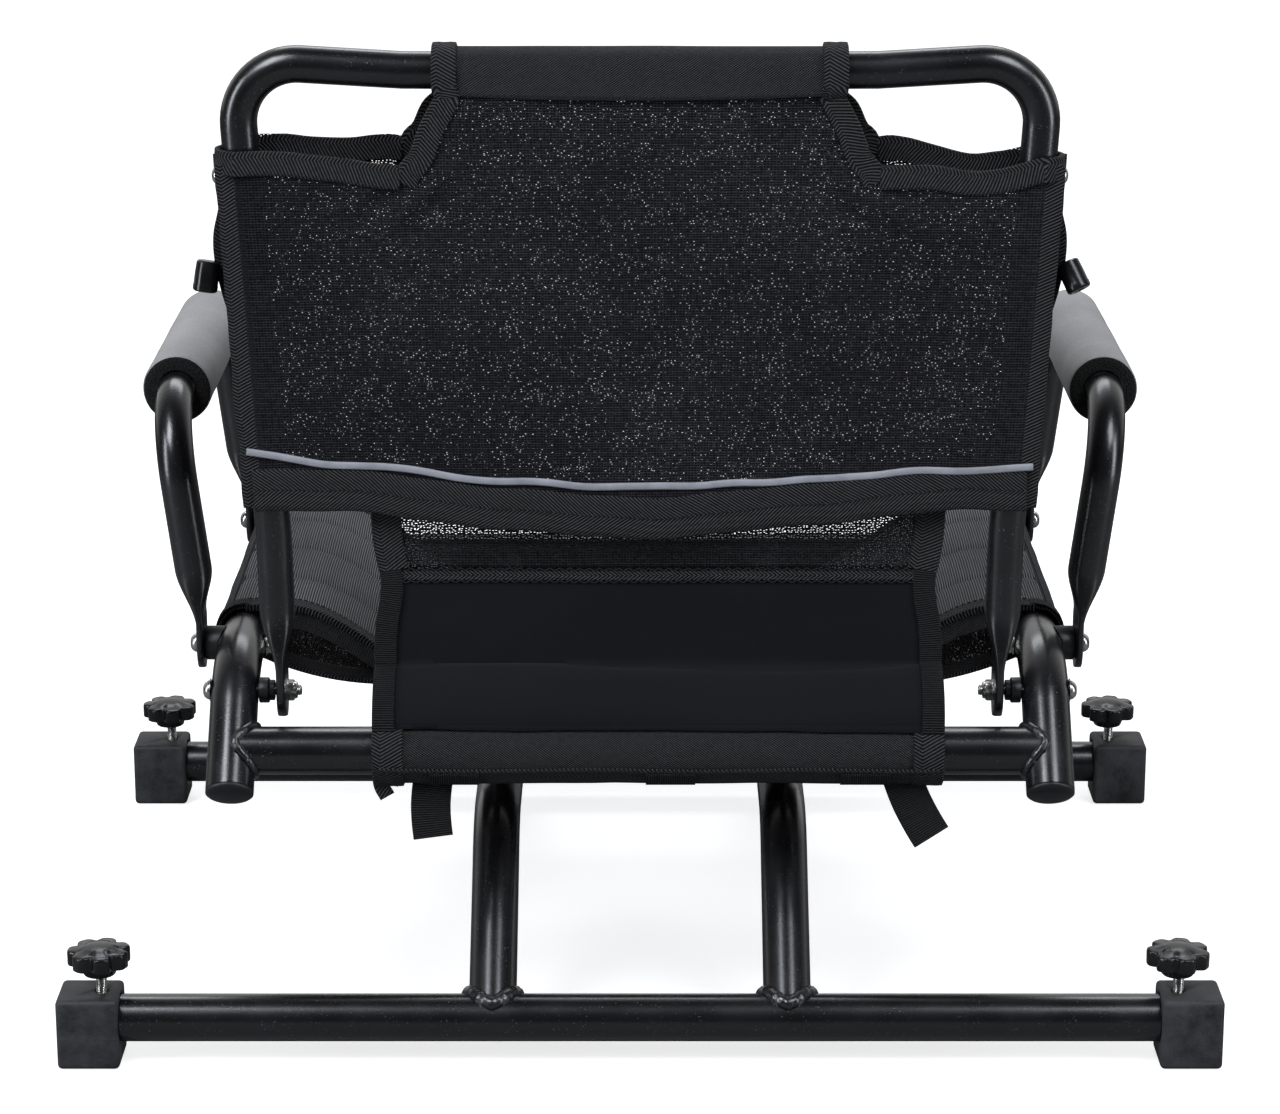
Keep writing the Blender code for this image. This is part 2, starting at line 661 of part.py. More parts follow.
def build_arms(looks, seat_pivot, rail_cutters):
    for (side, sign), rail_cutter in zip(SIDES.items(), rail_cutters):
        outward = X_AXIS * sign
        path = arm_path(sign)
        arm = add_object("arm_tube_" + side,
                         swept([p for p, _ in path], X_AXIS, [s for _, s in path]),
                         looks["tube"], seat_pivot)
        straight = ARM_BEND_R + 0.001
        grip_start = Vector((ARM_TOP_X * sign, ARM_FRONT_Y + straight, ARM_TOP_Z))
        grip_length = ARM_REAR_Y - ARM_FRONT_Y - 2 * straight
        grip = washer_like(grip_start, Y_AXIS,
                           [(0, GRIP_R * 0.93), (0.0015, GRIP_R),
                            (grip_length - 0.0015, GRIP_R), (grip_length, GRIP_R * 0.93)],
                           ARM_TUBE_R + GAP, ROUND)
        add_object("arm_grip_" + side, grip, looks["foam"], seat_pivot)
        for end, y in (("rear", ARM_REAR_Y), ("front", ARM_FRONT_Y)):
            z = rail_height_at(y)
            blade_out = ARM_BLADE_X + ARM_BLADE_HALF
            blade_in = ARM_BLADE_X - ARM_BLADE_HALF
            through = rod((blade_in * sign * 0.98, y, z), outward, HOLE_R, 0.012)
            cut(arm, cutter_from("cutter_blade_" + end + "_" + side, through))
            bolt = button_bolt((((blade_out + GAP) * sign), y, z), -outward,
                               ARM_BOLT_LENGTHS[end])
            add_object("arm_bolt_" + end + "_" + side, bolt, looks["steel"], seat_pivot)
            saddle_in = RAIL_X + TUBE_R * 0.35
            saddle = washer_like((saddle_in * sign, y, z), outward,
                                 [(0, SADDLE_R), (blade_in - GAP - saddle_in, SADDLE_R)],
                                 HOLE_R, ROUND)
            made = add_object("arm_saddle_" + end + "_" + side, saddle, looks["cap"],
                              seat_pivot)
            cut(made, rail_cutter)
        nut_face = Vector(((RAIL_X - TUBE_R - GAP) * sign, ARM_REAR_Y, RAIL_Z))
        add_object("arm_nut_rear_" + side, lock_nut(nut_face, -outward, ARM_NUT_THICK),
                   looks["steel"], seat_pivot)


# ---- back -----------------------------------------------------------------------------------

def back_path():
    """Points and section sizes of the back tube, from the left pivot over to the right one."""
    full = (BACK_TUBE_R, BACK_TUBE_R)
    lean_down = (on_back(0, 0) - on_back(0, 1)).normalized()
    half_path = []
    for point, size in blade_end(on_back(BACK_BLADE_X, 0), lean_down, BACK_BLADE_WIDE,
                                 BACK_BLADE_HALF):
        half_path.append((point, size))
    half_path.append((on_back(BACK_BLADE_X, BLADE_TO), (BACK_BLADE_HALF, BACK_BLADE_WIDE)))
    oval = (BACK_TUBE_R * 0.74, BACK_TUBE_R * 1.18)
    half_path.append((on_back(BACK_BLADE_X + 0.0008, (BLADE_TO + BLADE_ROUND_FROM) / 2), oval))
    corners = [on_back(BACK_BLADE_X + 0.0016, BLADE_ROUND_FROM), on_back(BACK_LOW_X, COVER_LOW),
               on_back(BACK_HIGH_X, BACK_HIGH)]
    half_path += [(point, full) for point in corners[:2]]
    bend = filleted([corners[1], on_back(BACK_HIGH_X + 0.0016, BACK_TOP),
                     on_back(0.120, BACK_TOP - BACK_TOP_DIP)], BACK_BEND_R, steps=7)
    half_path += [(point, full) for point in bend[1:]]
    half_path.append((on_back(0, BACK_TOP - BACK_TOP_DIP - 0.0005), full))
    mirrored = []
    for point, (half_side, half_other) in half_path[-2::-1]:
        mirrored.append((Vector((-point.x, point.y, point.z)), (half_side, half_other)))
    return half_path + mirrored


def back_sweep(grow=0.0):
    """The back tube. Its side axis is across the seat on the blades, along it elsewhere."""
    points = [point for point, _ in back_path()]
    normal = (on_back(0, 0, 1) - on_back(0, 0)).normalized()
    sizes = [(half_other + grow, half_side + grow) for _, (half_side, half_other) in back_path()]
    return swept(points, normal, sizes)


def stadium_ring(mesh_builder, height, radius, segments=10):
    """One level of the cloth loop that goes round both uprights."""
    ring = []
    for sign in (1, -1):
        for k in range(segments + 1):
            angle = -math.pi / 2 + math.pi * k / segments
            x = (upright_x(height) + math.cos(angle) * radius) * sign
            ring.append(mesh_builder.verts.new(
                on_back(x, height, math.sin(angle) * radius * sign)))
    return ring


def cover_loft(radius, low, top_centre):
    """A cloth bag round the uprights from the low edge to a rounded top over the top tube."""
    mesh_builder = bmesh.new()
    heights = [low, COVER_HIP, COVER_RIB, COVER_DIP - 0.008, BACK_HIGH, top_centre]
    rings = [stadium_ring(mesh_builder, height, radius) for height in heights]
    for step in range(1, 4):
        angle = math.pi / 2 * step / 4
        ring = stadium_ring(mesh_builder, top_centre, radius * math.cos(angle))
        lift = on_back(0, radius * math.sin(angle)) - on_back(0, 0)
        for vertex in ring:
            vertex.co += lift
        rings.append(ring)
    bridge(mesh_builder, rings)
    mesh_builder.faces.new(rings[0])
    mesh_builder.faces.new(rings[-1])
    return mesh_builder


def hand_hole(sign):
    """The corner taken out of the cover beside its top sleeve, where the tube shows."""
    above = BACK_TOP + 4 * BACK_TUBE_R
    reach = 4 * BACK_TUBE_R
    outline = [
        (COVER_SLEEVE_HALF, above),
        (COVER_SLEEVE_HALF, BACK_TOP - 0.024),
        (COVER_SLEEVE_HALF + 0.012, COVER_DIP + 0.004),
        (COVER_SLEEVE_HALF + 0.030, COVER_DIP),
        (COVER_SLEEVE_HALF + 0.065, COVER_DIP + 0.010),
        (HAND_HOLE_OUTER_X, COVER_SHOULDER),
        (HAND_HOLE_OUTER_X, above),
    ]
    mesh_builder = bmesh.new()
    rings = []
    for forward in (-reach, reach):
        rings.append([mesh_builder.verts.new(on_back(x * sign, height, forward))
                      for x, height in outline])
    bridge(mesh_builder, rings)
    mesh_builder.faces.new(rings[0])
    mesh_builder.faces.new(rings[1])
    return mesh_builder


def build_back(looks, back_pivot):
    tube = add_object("back_tube", back_sweep(), looks["tube"], back_pivot, BACK_PIVOT)
    inner_r = BACK_TUBE_R + GAP * 1.5
    top_centre = BACK_TOP - BACK_TOP_DIP * 0.5
    cover = add_object("back_cover",
                       cover_loft(inner_r + COVER_CLOTH, COVER_LOW, top_centre),
                       looks["mesh_cloth"], back_pivot, BACK_PIVOT)
    hollow = cutter_from("cutter_cover", cover_loft(inner_r, COVER_LOW - 0.02, top_centre))
    cut(cover, hollow)
    for side, sign in SIDES.items():
        outward = X_AXIS * sign
        cut(cover, cutter_from("cutter_hand_" + side, hand_hole(sign)))
        pivot_point = BACK_PIVOT + X_AXIS * (BACK_BLADE_X * sign)
        drill = rod(pivot_point - outward * 0.01, outward, HOLE_R, 0.02)
        cut(tube, cutter_from("cutter_pivot_" + side, drill))
        outer_x = upright_x(SCREW_HEIGHT) + inner_r + COVER_CLOTH
        screw_place = on_back((outer_x + GAP) * sign, SCREW_HEIGHT)
        head = SCREW_HEAD_R
        screw = turned([(-head * 0.65, 0.0), (-head * 0.65, head * 0.48),
                        (-head * 0.26, head * 0.91), (0.0, head), (0.0, SCREW_R),
                        (SCREW_LENGTH, SCREW_R), (SCREW_LENGTH, 0.0)], screw_place, -outward)
        add_object("cover_screw_" + side, screw, looks["steel"], back_pivot, BACK_PIVOT)
        drill_from = screw_place + outward * SCREW_R
        drill = rod(drill_from, -outward, SCREW_R + GAP, SCREW_LENGTH + SCREW_R + 5 * GAP)
        screw_hole = cutter_from("cutter_screw_" + side, drill)
        cut(cover, screw_hole)
        cut(tube, screw_hole)
        build_toggle(looks, back_pivot, side)


def build_toggle(looks, back_pivot, side):
    """A small plastic barrel on the side of the back, tilted outwards, back and down."""
    sign = SIDES[side]
    axis = Vector((0.75 * sign, 0.45, -0.48)).normalized()
    radius, half, hole_depth = TOGGLE_R, TOGGLE_LENGTH / 2, TOGGLE_R * 0.5
    profile = [(-half, 0.0), (-half, radius), (half * 0.88, radius), (half, radius * 0.85),
               (half, radius * 0.45), (half - hole_depth, radius * 0.4),
               (half - hole_depth, 0.0)]
    add_object("side_toggle_" + side,
               turned(profile, on_back(TOGGLE_X * sign, TOGGLE_HEIGHT), axis),
               looks["cap"], back_pivot, BACK_PIVOT)


def build_back_hinges(looks, seat_pivot):
    """The bolt, stepped spacer and nut that hold each blade of the back to its rail."""
    for side, sign in SIDES.items():
        outward = X_AXIS * sign
        y, z = BACK_PIVOT_Y, BACK_PIVOT_Z
        head_x = (RAIL_X + TUBE_R + GAP) * sign
        rail_face = RAIL_X - TUBE_R - GAP
        blade_face = BACK_BLADE_X + BACK_BLADE_HALF + GAP
        step = rail_face - blade_face
        waist = step * 0.65
        spacer = washer_like((rail_face * sign, y, z), -outward,
                             [(0, SPACER_R), (waist, SPACER_R), (waist, SPACER_COLLAR_R),
                              (step, SPACER_COLLAR_R)], HOLE_R)
        nut_face = Vector(((BACK_BLADE_X - BACK_BLADE_HALF - GAP) * sign, y, z))
        shapes = {
            "back_bolt_": (button_bolt((head_x, y, z), -outward, BACK_BOLT_LENGTH), "steel"),
            "back_spacer_": (spacer, "cap"),
            "back_nut_": (lock_nut(nut_face, -outward, BACK_NUT_THICK), "steel"),
        }
        for prefix, (shape, look) in shapes.items():
            add_object(prefix + side, shape, looks[look], seat_pivot)


# ---- cloth ----------------------------------------------------------------------------------

def seat_top_height(x):
    """Height of the seat cloth's middle line between the rails."""
    crown = RAIL_Z + TUBE_R + GAP + CLOTH_SLACK + SEAT_CLOTH / 2
    share = min(abs(x) / SEAT_SPAN_X, 1)
    return crown - SEAT_SAG * (1 - share ** SEAT_SAG_POWER)


def build_seat_cover(looks, seat_pivot):
    """A cloth loop round both rails: the sagging seat above and a thinner layer below."""
    wrap_r = TUBE_R + GAP + CLOTH_SLACK + SEAT_CLOTH / 2
    loop = []
    spans = 8
    for i in range(-spans, spans + 1):
        x = SEAT_SPAN_X * i / spans
        loop.append((x, seat_top_height(x)))
    wrap_steps = 9
    for k in range(wrap_steps + 1):
        angle = math.pi / 2 - SEAT_WRAP * k / wrap_steps
        loop.append((RAIL_X + math.cos(angle) * wrap_r, RAIL_Z + math.sin(angle) * wrap_r))
    wrap = loop[2 * spans + 1:]
    under_end = loop[-1]
    under_middle = seat_top_height(0) - SEAT_LAYER_GAP
    for i in range(spans - 1, -spans, -1):
        share = abs(i) / spans
        x = under_end[0] * i / spans
        loop.append((x, under_middle + (under_end[1] - under_middle) * share ** 1.6))
    loop += [(-x, z) for x, z in reversed(wrap)]
    half = SEAT_CLOTH / 2
    mesh_builder = bmesh.new()
    points = [Vector((x, 0, z)) for x, z in loop]
    count = len(points)
    rings = []
    for y in (SEAT_REAR_Y, SEAT_FRONT_Y):
        for sign in (1, -1):
            ring = []
            for i, point in enumerate(points):
                direction = (points[(i + 1) % count] - points[i - 1]).normalized()
                normal = direction.cross(Y_AXIS)
                place = point + normal * (half * sign)
                ring.append(mesh_builder.verts.new((place.x, y, place.z)))
            rings.append(ring)
    rear_out, rear_in, front_out, front_in = rings
    bridge(mesh_builder, [rear_out, front_out, front_in, rear_in], closed=True)
    add_object("seat_cover", mesh_builder, looks["seat_cloth"], seat_pivot)


def build_lower_panel(looks, seat_pivot, support_cutters):
    """The panel that closes the gap under the back and wraps round the rear cross tube."""
    wrap_r = TUBE_R + GAP + CLOTH_SLACK + PANEL_CLOTH / 2
    path = [on_back(0, COVER_LOW + PANEL_LAP).yz, on_back(0, PANEL_SLOPE_FROM).yz]
    meets_at, leaves_at, steps = math.radians(50), math.radians(-265), 17
    lift_off = Vector((CLOTH_SLACK, 4 * CLOTH_SLACK))
    for k in range(steps + 1):
        angle = meets_at + (leaves_at - meets_at) * k / steps
        on_wrap = Vector((CROSS_Y + math.cos(angle) * wrap_r,
                          CROSS_Z + math.sin(angle) * wrap_r))
        path.append(on_wrap + lift_off if k == 0 else on_wrap)
    outline = strip_outline(path, PANEL_CLOTH)
    panel = plate(outline, -PANEL_REACH["right"], PANEL_REACH["left"], axis="X")
    made = add_object("lower_panel", panel, looks["solid_cloth"], seat_pivot)
    cut(made, *support_cutters)


def build_straps(looks, seat_pivot):
    """Two loose webbing ends that hang from the panel's hem."""
    top_z = CROSS_Z - TUBE_R - PANEL_CLOTH - CLOTH_SLACK - 2 * GAP
    bottom_z = LEG_TOP_Z + TUBE_R + STRAP_CLEAR_OF_PLATE
    y = CROSS_Y + 3 * STRAP_THICK
    for side, x in STRAP_CENTRES.items():
        outline = strip_outline([(y, top_z), (y + 2 * STRAP_THICK, (top_z + bottom_z) / 2),
                                 (y + 3 * STRAP_THICK, bottom_z)], STRAP_THICK)
        name = "hanging_strap_" + side
        strap = plate(outline, x - STRAP_HALF_WIDTH, x + STRAP_HALF_WIDTH, axis="X")
        add_object(name, strap, looks["webbing"], seat_pivot)


# ---- build ----------------------------------------------------------------------------------

def main():
    for old in list(bpy.data.objects):
        bpy.data.objects.remove(old)
    looks = {
        "tube": material("black_powder_coat", (0.012, 0.012, 0.014), 0.32, 0.3),
        "steel": material("stainless_steel", (0.62, 0.61, 0.58), 0.25, 1.0),
        "block": material("block_plastic", (0.022, 0.022, 0.023), 0.75),
        "knob": material("knob_plastic", (0.010, 0.010, 0.011), 0.22),
        "cap": material("cap_plastic", (0.014, 0.014, 0.015), 0.45),
        "slip_ring": material("slip_ring_plastic", (0.55, 0.55, 0.53), 0.5),
        "foam": material("foam_grip", (0.42, 0.42, 0.41), 0.9),
        "mesh_cloth": material("black_mesh_cloth", (0.015, 0.015, 0.017), 0.85),
        "solid_cloth": material("black_solid_cloth", (0.010, 0.010, 0.012), 0.9),
        "seat_cloth": material("grey_seat_cloth", (0.10, 0.10, 0.11), 0.85),
        "webbing": material("black_webbing", (0.012, 0.012, 0.013), 0.8),
    }
    seat_pivot = add_pivot("seat_pivot", (0, 0, UPPER_PLATE_Z))
    back_pivot = add_pivot("back_pivot", BACK_PIVOT)
    build_base(looks)
    build_swivel(looks, seat_pivot)
    build_clamp_feet(looks)
    rail_cutters, support_cutters = build_seat_frame(looks, seat_pivot)
    build_arms(looks, seat_pivot, rail_cutters)
    build_back(looks, back_pivot)
    build_back_hinges(looks, seat_pivot)
    build_seat_cover(looks, seat_pivot)
    build_lower_panel(looks, seat_pivot, support_cutters)
    build_straps(looks, seat_pivot)


main()
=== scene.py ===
"""Looks for the folding swivel seat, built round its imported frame.

Metres, +Z up. The sitter faces -Y, so the camera, which looks at the back, stands on +Y and has +X
on its left. Places come from the frame's boxes and joints; the constants are section sizes and
details that a box does not hold.
"""

import json
from math import asin, copysign, cos, exp, hypot, pi, radians, sin, sqrt, tan, tau

import bmesh
import bpy
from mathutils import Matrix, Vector, noise


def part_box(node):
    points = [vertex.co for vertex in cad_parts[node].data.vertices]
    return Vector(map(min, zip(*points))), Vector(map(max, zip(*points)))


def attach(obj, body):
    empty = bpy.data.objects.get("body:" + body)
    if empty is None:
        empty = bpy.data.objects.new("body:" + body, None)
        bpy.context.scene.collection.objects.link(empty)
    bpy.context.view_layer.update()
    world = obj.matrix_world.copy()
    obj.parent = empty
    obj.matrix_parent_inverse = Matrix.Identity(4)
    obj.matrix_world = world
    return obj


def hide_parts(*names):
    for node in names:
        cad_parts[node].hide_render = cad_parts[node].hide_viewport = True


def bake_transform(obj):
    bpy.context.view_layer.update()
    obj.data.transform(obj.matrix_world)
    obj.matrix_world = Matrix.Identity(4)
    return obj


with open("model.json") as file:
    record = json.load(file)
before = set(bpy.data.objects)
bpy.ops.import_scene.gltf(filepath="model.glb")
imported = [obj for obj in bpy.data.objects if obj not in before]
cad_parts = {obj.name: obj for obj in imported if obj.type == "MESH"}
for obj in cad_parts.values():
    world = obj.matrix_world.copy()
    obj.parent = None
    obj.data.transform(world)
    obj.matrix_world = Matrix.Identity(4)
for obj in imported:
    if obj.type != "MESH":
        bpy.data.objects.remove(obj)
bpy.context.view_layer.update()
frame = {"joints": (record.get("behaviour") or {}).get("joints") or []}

X_AXIS, Y_AXIS, Z_AXIS = Vector((1, 0, 0)), Vector((0, 1, 0)), Vector((0, 0, 1))
SIDES = {"left": 1, "right": -1}
ENDS = {"rear": 1, "front": -1}
CORNERS = [(end, side) for end in ENDS for side in SIDES]
LAYERS = {"rear": -1, "front": 1}     # the cover's two sheets, by their place along the sitter's view

# section sizes and shape angles shared with the frame's design
TUBE_R, SUPPORT_R, BACK_R, ARM_R, BOLT_R = 0.0127, 0.0095, 0.0095, 0.010, 0.003
LEG_SLOPE, LEG_BEND_R = radians(43), 0.050
RAIL_SLOPE, RAIL_BEND_R = radians(47), 0.060
SUPPORT_SLOPE, SUPPORT_BEND_R = radians(30), 0.040
ARM_BEND_R, BACK_BEND_R = 0.042, 0.030
BACK_LEAN = radians(1.5)
BLADE_HALF, BLADE_WIDE = 0.0026, 0.0140             # half sizes of the back tube's flat feet
ARM_BLADE_HALF, ARM_BLADE_WIDE = 0.002, 0.0135      # and of the arm tubes' flat feet

WEB_HALF = 0.0064           # half the width of the edge webbing
BOUND = 0.0027              # thickness of an edge with webbing folded over it
MESH_PITCH = (0.00165, 0.00135)     # yarn spacing across and along the mesh
RIB_PITCH = 0.0014                  # rib spacing of the seat cloth


# ---- places and curves ----------------------------------------------------------------------

def place_of(node):
    """A CAD node's lowest corner, highest corner and middle."""
    low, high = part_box(node)
    return low, high, (low + high) / 2


def middle(node):
    return place_of(node)[2]


def end_x(node, sign):
    """Where a node's box ends along X, on the side that sign points to."""
    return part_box(node)[1 if sign > 0 else 0].x


def smooth(share):
    share = min(max(share, 0.0), 1.0)
    return share * share * (3 - 2 * share)


def bell(value, centre, width):
    return exp(-((value - centre) / width) ** 2)


def uneven(*place):
    """Smooth noise, about -1 to 1, at a place."""
    return noise.noise(Vector(place))


def even(start, end, count):
    """The count + 1 evenly spaced values from start to end."""
    return [start + (end - start) * i / count for i in range(count + 1)]


def circle(count):
    """Cosine and sine of evenly spaced angles round a circle."""
    return [(cos(tau * k / count), sin(tau * k / count)) for k in range(count)]


def scaled(outline, reach, radius):
    """An outline drawn in shares, at its real size."""
    return [(reach * along, radius * share) for along, share in outline]


PIVOT = next(Vector(joint["pos_m"]) for joint in frame["joints"] if joint["name"] == "back_fold")


def on_back(x, height, forward=0.0):
    """A point on the leaning back from its sideways place, height above the pivot and depth."""
    lean = Vector((0, sin(BACK_LEAN), cos(BACK_LEAN)))
    ahead = Vector((0, -cos(BACK_LEAN), sin(BACK_LEAN)))
    return PIVOT + X_AXIS * x + lean * height + ahead * forward


def outward(layer):
    """The direction a layer of the back faces."""
    return (on_back(0, 0, layer) - on_back(0, 0)).normalized()


# heights on the back are measured along it from the pivot
BACK_TOP = (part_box("back_tube")[1].z - PIVOT.z - BACK_R) / cos(BACK_LEAN)
BACK_TOP_DIP = 0.005        # the top tube's middle hangs this much lower
COVER_LOW = (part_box("back_cover")[0].z - PIVOT.z) / cos(BACK_LEAN)
BACK_HIGH = BACK_TOP - 0.031
BACK_HIGH_X = end_x("back_tube", 1) - BACK_R - 0.0007
BACK_LOW_X = BACK_HIGH_X - 0.0115
BACK_BLADE_X = BACK_LOW_X - 0.00215
COVER_R = BACK_R + 0.0016   # the cover's inner radius round the uprights
SLEEVE_HALF = 0.1040        # half the length of the sleeve on the top tube


def upright_x(height):
    """Side place of the left upright's axis: the uprights stand a little further apart above."""
    share = min(max((height - COVER_LOW) / (BACK_HIGH - COVER_LOW), 0), 1)
    return BACK_LOW_X + (BACK_HIGH_X - BACK_LOW_X) * share


# ---- materials ------------------------------------------------------------------------------

class Tree:
    """Short ways to add to a node tree."""

    def __init__(self, tree):
        self.tree = tree

    def feed(self, socket, value):
        if isinstance(value, bpy.types.NodeSocket):
            self.tree.links.new(value, socket)
        else:
            socket.default_value = value

    def add(self, kind, inputs=(), out=0, **settings):
        """Add a node and return one of its outputs, or all of them when out is None."""
        node = self.tree.nodes.new("ShaderNode" + kind)
        for name, value in settings.items():
            setattr(node, name, value)
        for socket, value in dict(inputs).items():
            self.feed(node.inputs[socket], value)
        return node.outputs if out is None else node.outputs[out]

    def math(self, operation, a, b=0.0, c=0.0):
        return self.add("Math", {0: a, 1: b, 2: c}, operation=operation)

    def times(self, a, b):
        return self.math("MULTIPLY", a, b)

    def span(self, value, low, high, to_low=0.0, to_high=1.0):
        return self.add("MapRange", {"Value": value, "From Min": low, "From Max": high,
                                     "To Min": to_low, "To Max": to_high})


class Look(Tree):
    """A material, its shader and the patterns that feed it."""

    def __init__(self, name, colour, roughness, metallic=0.0):
        self.material = bpy.data.materials.new(name)
        self.material.use_nodes = True
        self.material.diffuse_color = (*colour, 1)
        super().__init__(self.material.node_tree)
        self.shader = self.tree.nodes["Principled BSDF"]
        self.set({"Base Color": (*colour, 1), "Roughness": roughness, "Metallic": metallic})

    def set(self, inputs):
        for name, value in inputs.items():
            self.feed(self.shader.inputs[name], value)

    def place(self):
        return self.add("TexCoord", out="Object")

    def cloth_uv(self):
        """The cloth's own coordinates in metres: across the piece and along it."""
        return self.add("SeparateXYZ", {0: self.add("UVMap")}, out=None)[:2]

    def noise(self, scale, detail=3.0, roughness=0.5):
        return self.add("TexNoise", {"Vector": self.place(), "Scale": scale, "Detail": detail,
                                     "Roughness": roughness})

    def cloud(self, scale, detail, to_low=0.0, to_high=1.0, low=0.3, high=0.7):
        """Noise stretched so that low and high become to_low and to_high."""
        return self.span(self.noise(scale, detail), low, high, to_low, to_high)

    def mix(self, share, a, b):
        return self.add("Mix", {"Factor": share, 6: (*a, 1) if isinstance(a, tuple) else a,
                                7: (*b, 1) if isinstance(b, tuple) else b},
                        out=2, data_type="RGBA")

    def bump(self, height, strength, distance, before=None):
        inputs = {"Height": height, "Strength": strength, "Distance": distance}
        if before is not None:
            inputs["Normal"] = before
        normal = self.add("Bump", inputs)
        self.set({"Normal": normal})
        return normal

    def wave(self, value, pitch):
        """Goes from 0 to 1 and back once in each pitch."""
        turn = self.times(value, tau / pitch)
        return self.math("MULTIPLY_ADD", self.math("SINE", turn), 0.5, 0.5)


def powder_coat():
    look = Look("black_powder_coat", (0.010, 0.010, 0.012), 0.3)
    patches = look.noise(28, 4)
    specks = look.times(look.cloud(1200, 1, low=0.715, high=0.75), look.cloud(45, 2, low=0.36, high=0.55))
    base = look.mix(patches, (0.003, 0.003, 0.004), (0.008, 0.008, 0.010))
    look.set({"Base Color": look.mix(specks, base, (0.16, 0.16, 0.17)),
              "Roughness": look.span(patches, 0.3, 0.7, 0.22, 0.32),
              "Specular IOR Level": 0.8, "Coat Weight": 0.3, "Coat Roughness": 0.2})
    peel = look.bump(look.noise(620, 2), 0.10, 0.0004)
    look.bump(look.noise(2200, 2), 0.05, 0.0002, peel)
    return look.material


def weld_metal():
    look = Look("black_weld", (0.009, 0.009, 0.010), 0.26)
    look.set({"Roughness": look.cloud(300, 3, 0.16, 0.42), "Specular IOR Level": 0.8,
              "Coat Weight": 0.5, "Coat Roughness": 0.12})
    look.bump(look.noise(420, 4), 0.55, 0.0008)
    return look.material


def stainless():
    look = Look("stainless_steel", (0.60, 0.59, 0.57), 0.24, 1.0)
    stain = look.noise(260, 4)
    look.set({"Base Color": look.mix(stain, (0.44, 0.43, 0.41), (0.74, 0.73, 0.70)),
              "Roughness": look.span(stain, 0.3, 0.7, 0.16, 0.36)})
    look.bump(look.noise(1800, 2), 0.12, 0.0002)
    return look.material


def moulded(name, dark, light, rough_low, rough_high, grain, strength):
    """Black moulded plastic: a slightly cloudy colour and a fine spark eroded grain."""
    look = Look(name, dark, rough_low)
    cloud = look.noise(70, 5, 0.65)
    look.set({"Base Color": look.mix(look.span(cloud, 0.32, 0.68), dark, light),
              "Roughness": look.span(cloud, 0.3, 0.7, rough_low, rough_high)})
    look.bump(look.noise(grain, 3), strength, 0.0005)
    return look.material


def slip_plastic():
    look = Look("slip_ring_plastic", (0.55, 0.55, 0.52), 0.42)
    look.set({"Base Color": look.mix(look.noise(90, 3), (0.46, 0.46, 0.43), (0.62, 0.62, 0.6)),
              "Subsurface Weight": 0.05})
    look.bump(look.noise(900, 2), 0.1, 0.0002)
    return look.material


def foam_skin():
    look = Look("grey_foam_skin", (0.3, 0.3, 0.3), 0.8)
    smudge = look.noise(16, 5, 0.6)
    base = look.mix(look.span(smudge, 0.34, 0.66), (0.345, 0.338, 0.335), (0.52, 0.51, 0.503))
    specks = look.cloud(900, 2, 0.0, 0.35, low=0.35, high=0.65)
    look.set({"Base Color": look.mix(specks, base, (0.20, 0.20, 0.205)),
              "Roughness": look.span(smudge, 0.3, 0.7, 0.62, 0.82), "Sheen Weight": 0.15})
    skin = look.bump(look.noise(1300, 3), 0.45, 0.0004)
    look.bump(look.noise(120, 3), 0.25, 0.0008, skin)
    return look.material


def foam_cut():
    look = Look("black_foam_cells", (0.012, 0.012, 0.012), 0.95)
    cells = look.add("TexVoronoi", {"Vector": look.place(), "Scale": 1100.0})
    glint = look.span(cells, 0.0, 0.35, 1.0, 0.0)
    look.set({"Base Color": look.mix(glint, (0.006, 0.006, 0.006), (0.06, 0.06, 0.06))})
    look.bump(cells, 0.9, 0.0012)
    return look.material


def open_mesh(name, dark, light, hole, pitch=MESH_PITCH):
    """Woven mesh: crossing threads, and between them small gaps that each sit a little off."""
    look = Look(name, dark, 0.75)
    cells = []
    for value, size, scale in zip(look.cloth_uv(), pitch, (13, 11)):
        drift = look.cloud(scale, 2, -0.35, 0.35)
        cells.append(look.math("ADD", look.math("DIVIDE", value, size), drift))
    spot = look.add("CombineXYZ", {n: look.math("FLOOR", cell) for n, cell in enumerate(cells)})
    chance = look.add("TexWhiteNoise", {"Vector": spot}, out="Color", noise_dimensions="2D")
    shifts = look.add("SeparateXYZ", {0: chance}, out=None)
    threads = []
    gaps = []
    for cell, shift, size in zip(cells, shifts, hole):
        place = look.math("SUBTRACT", look.math("FRACT", cell), 0.5)
        threads.append(look.math("ABSOLUTE", place))
        off = look.math("MULTIPLY_ADD", look.math("SUBTRACT", shift, 0.5), 0.62, place)
        gaps.append(look.math("DIVIDE", look.math("ABSOLUTE", off), size))
    gap = look.math("LESS_THAN", look.math("MAXIMUM", *gaps), 1.0)
    thread = look.math("MAXIMUM", look.times(threads[0], 0.8), threads[1])
    over = look.times(look.wave(cells[0], 2.0), look.wave(cells[1], 2.0))
    # Yarn colour: threads lighter than the spaces between them, each cell's yarn a random brightness,
    # varied in soft patches; the light colour is partly the yarns' own tone and partly painted highlight
    # on the yarns.
    shade = look.times(look.span(thread, 0.2, 0.5), look.span(shifts[2], 0, 1, 0.35, 1))
    yarn_tone_and_highlight = look.times(shade, look.cloud(9, 3, 0.6, 1.2))
    look.set({"Base Color": look.mix(yarn_tone_and_highlight, dark, light), "Specular IOR Level": 0.15,
              "Roughness": look.span(thread, 0.2, 0.5, 0.8, 0.5)})
    look.bump(look.math("ADD", thread, over), 0.6, 0.0005)
    surface = look.add("MixShader", {0: gap, 1: look.shader.outputs[0],
                                     2: look.add("BsdfTransparent")})
    look.tree.links.new(surface, look.tree.nodes["Material Output"].inputs["Surface"])
    return look.material


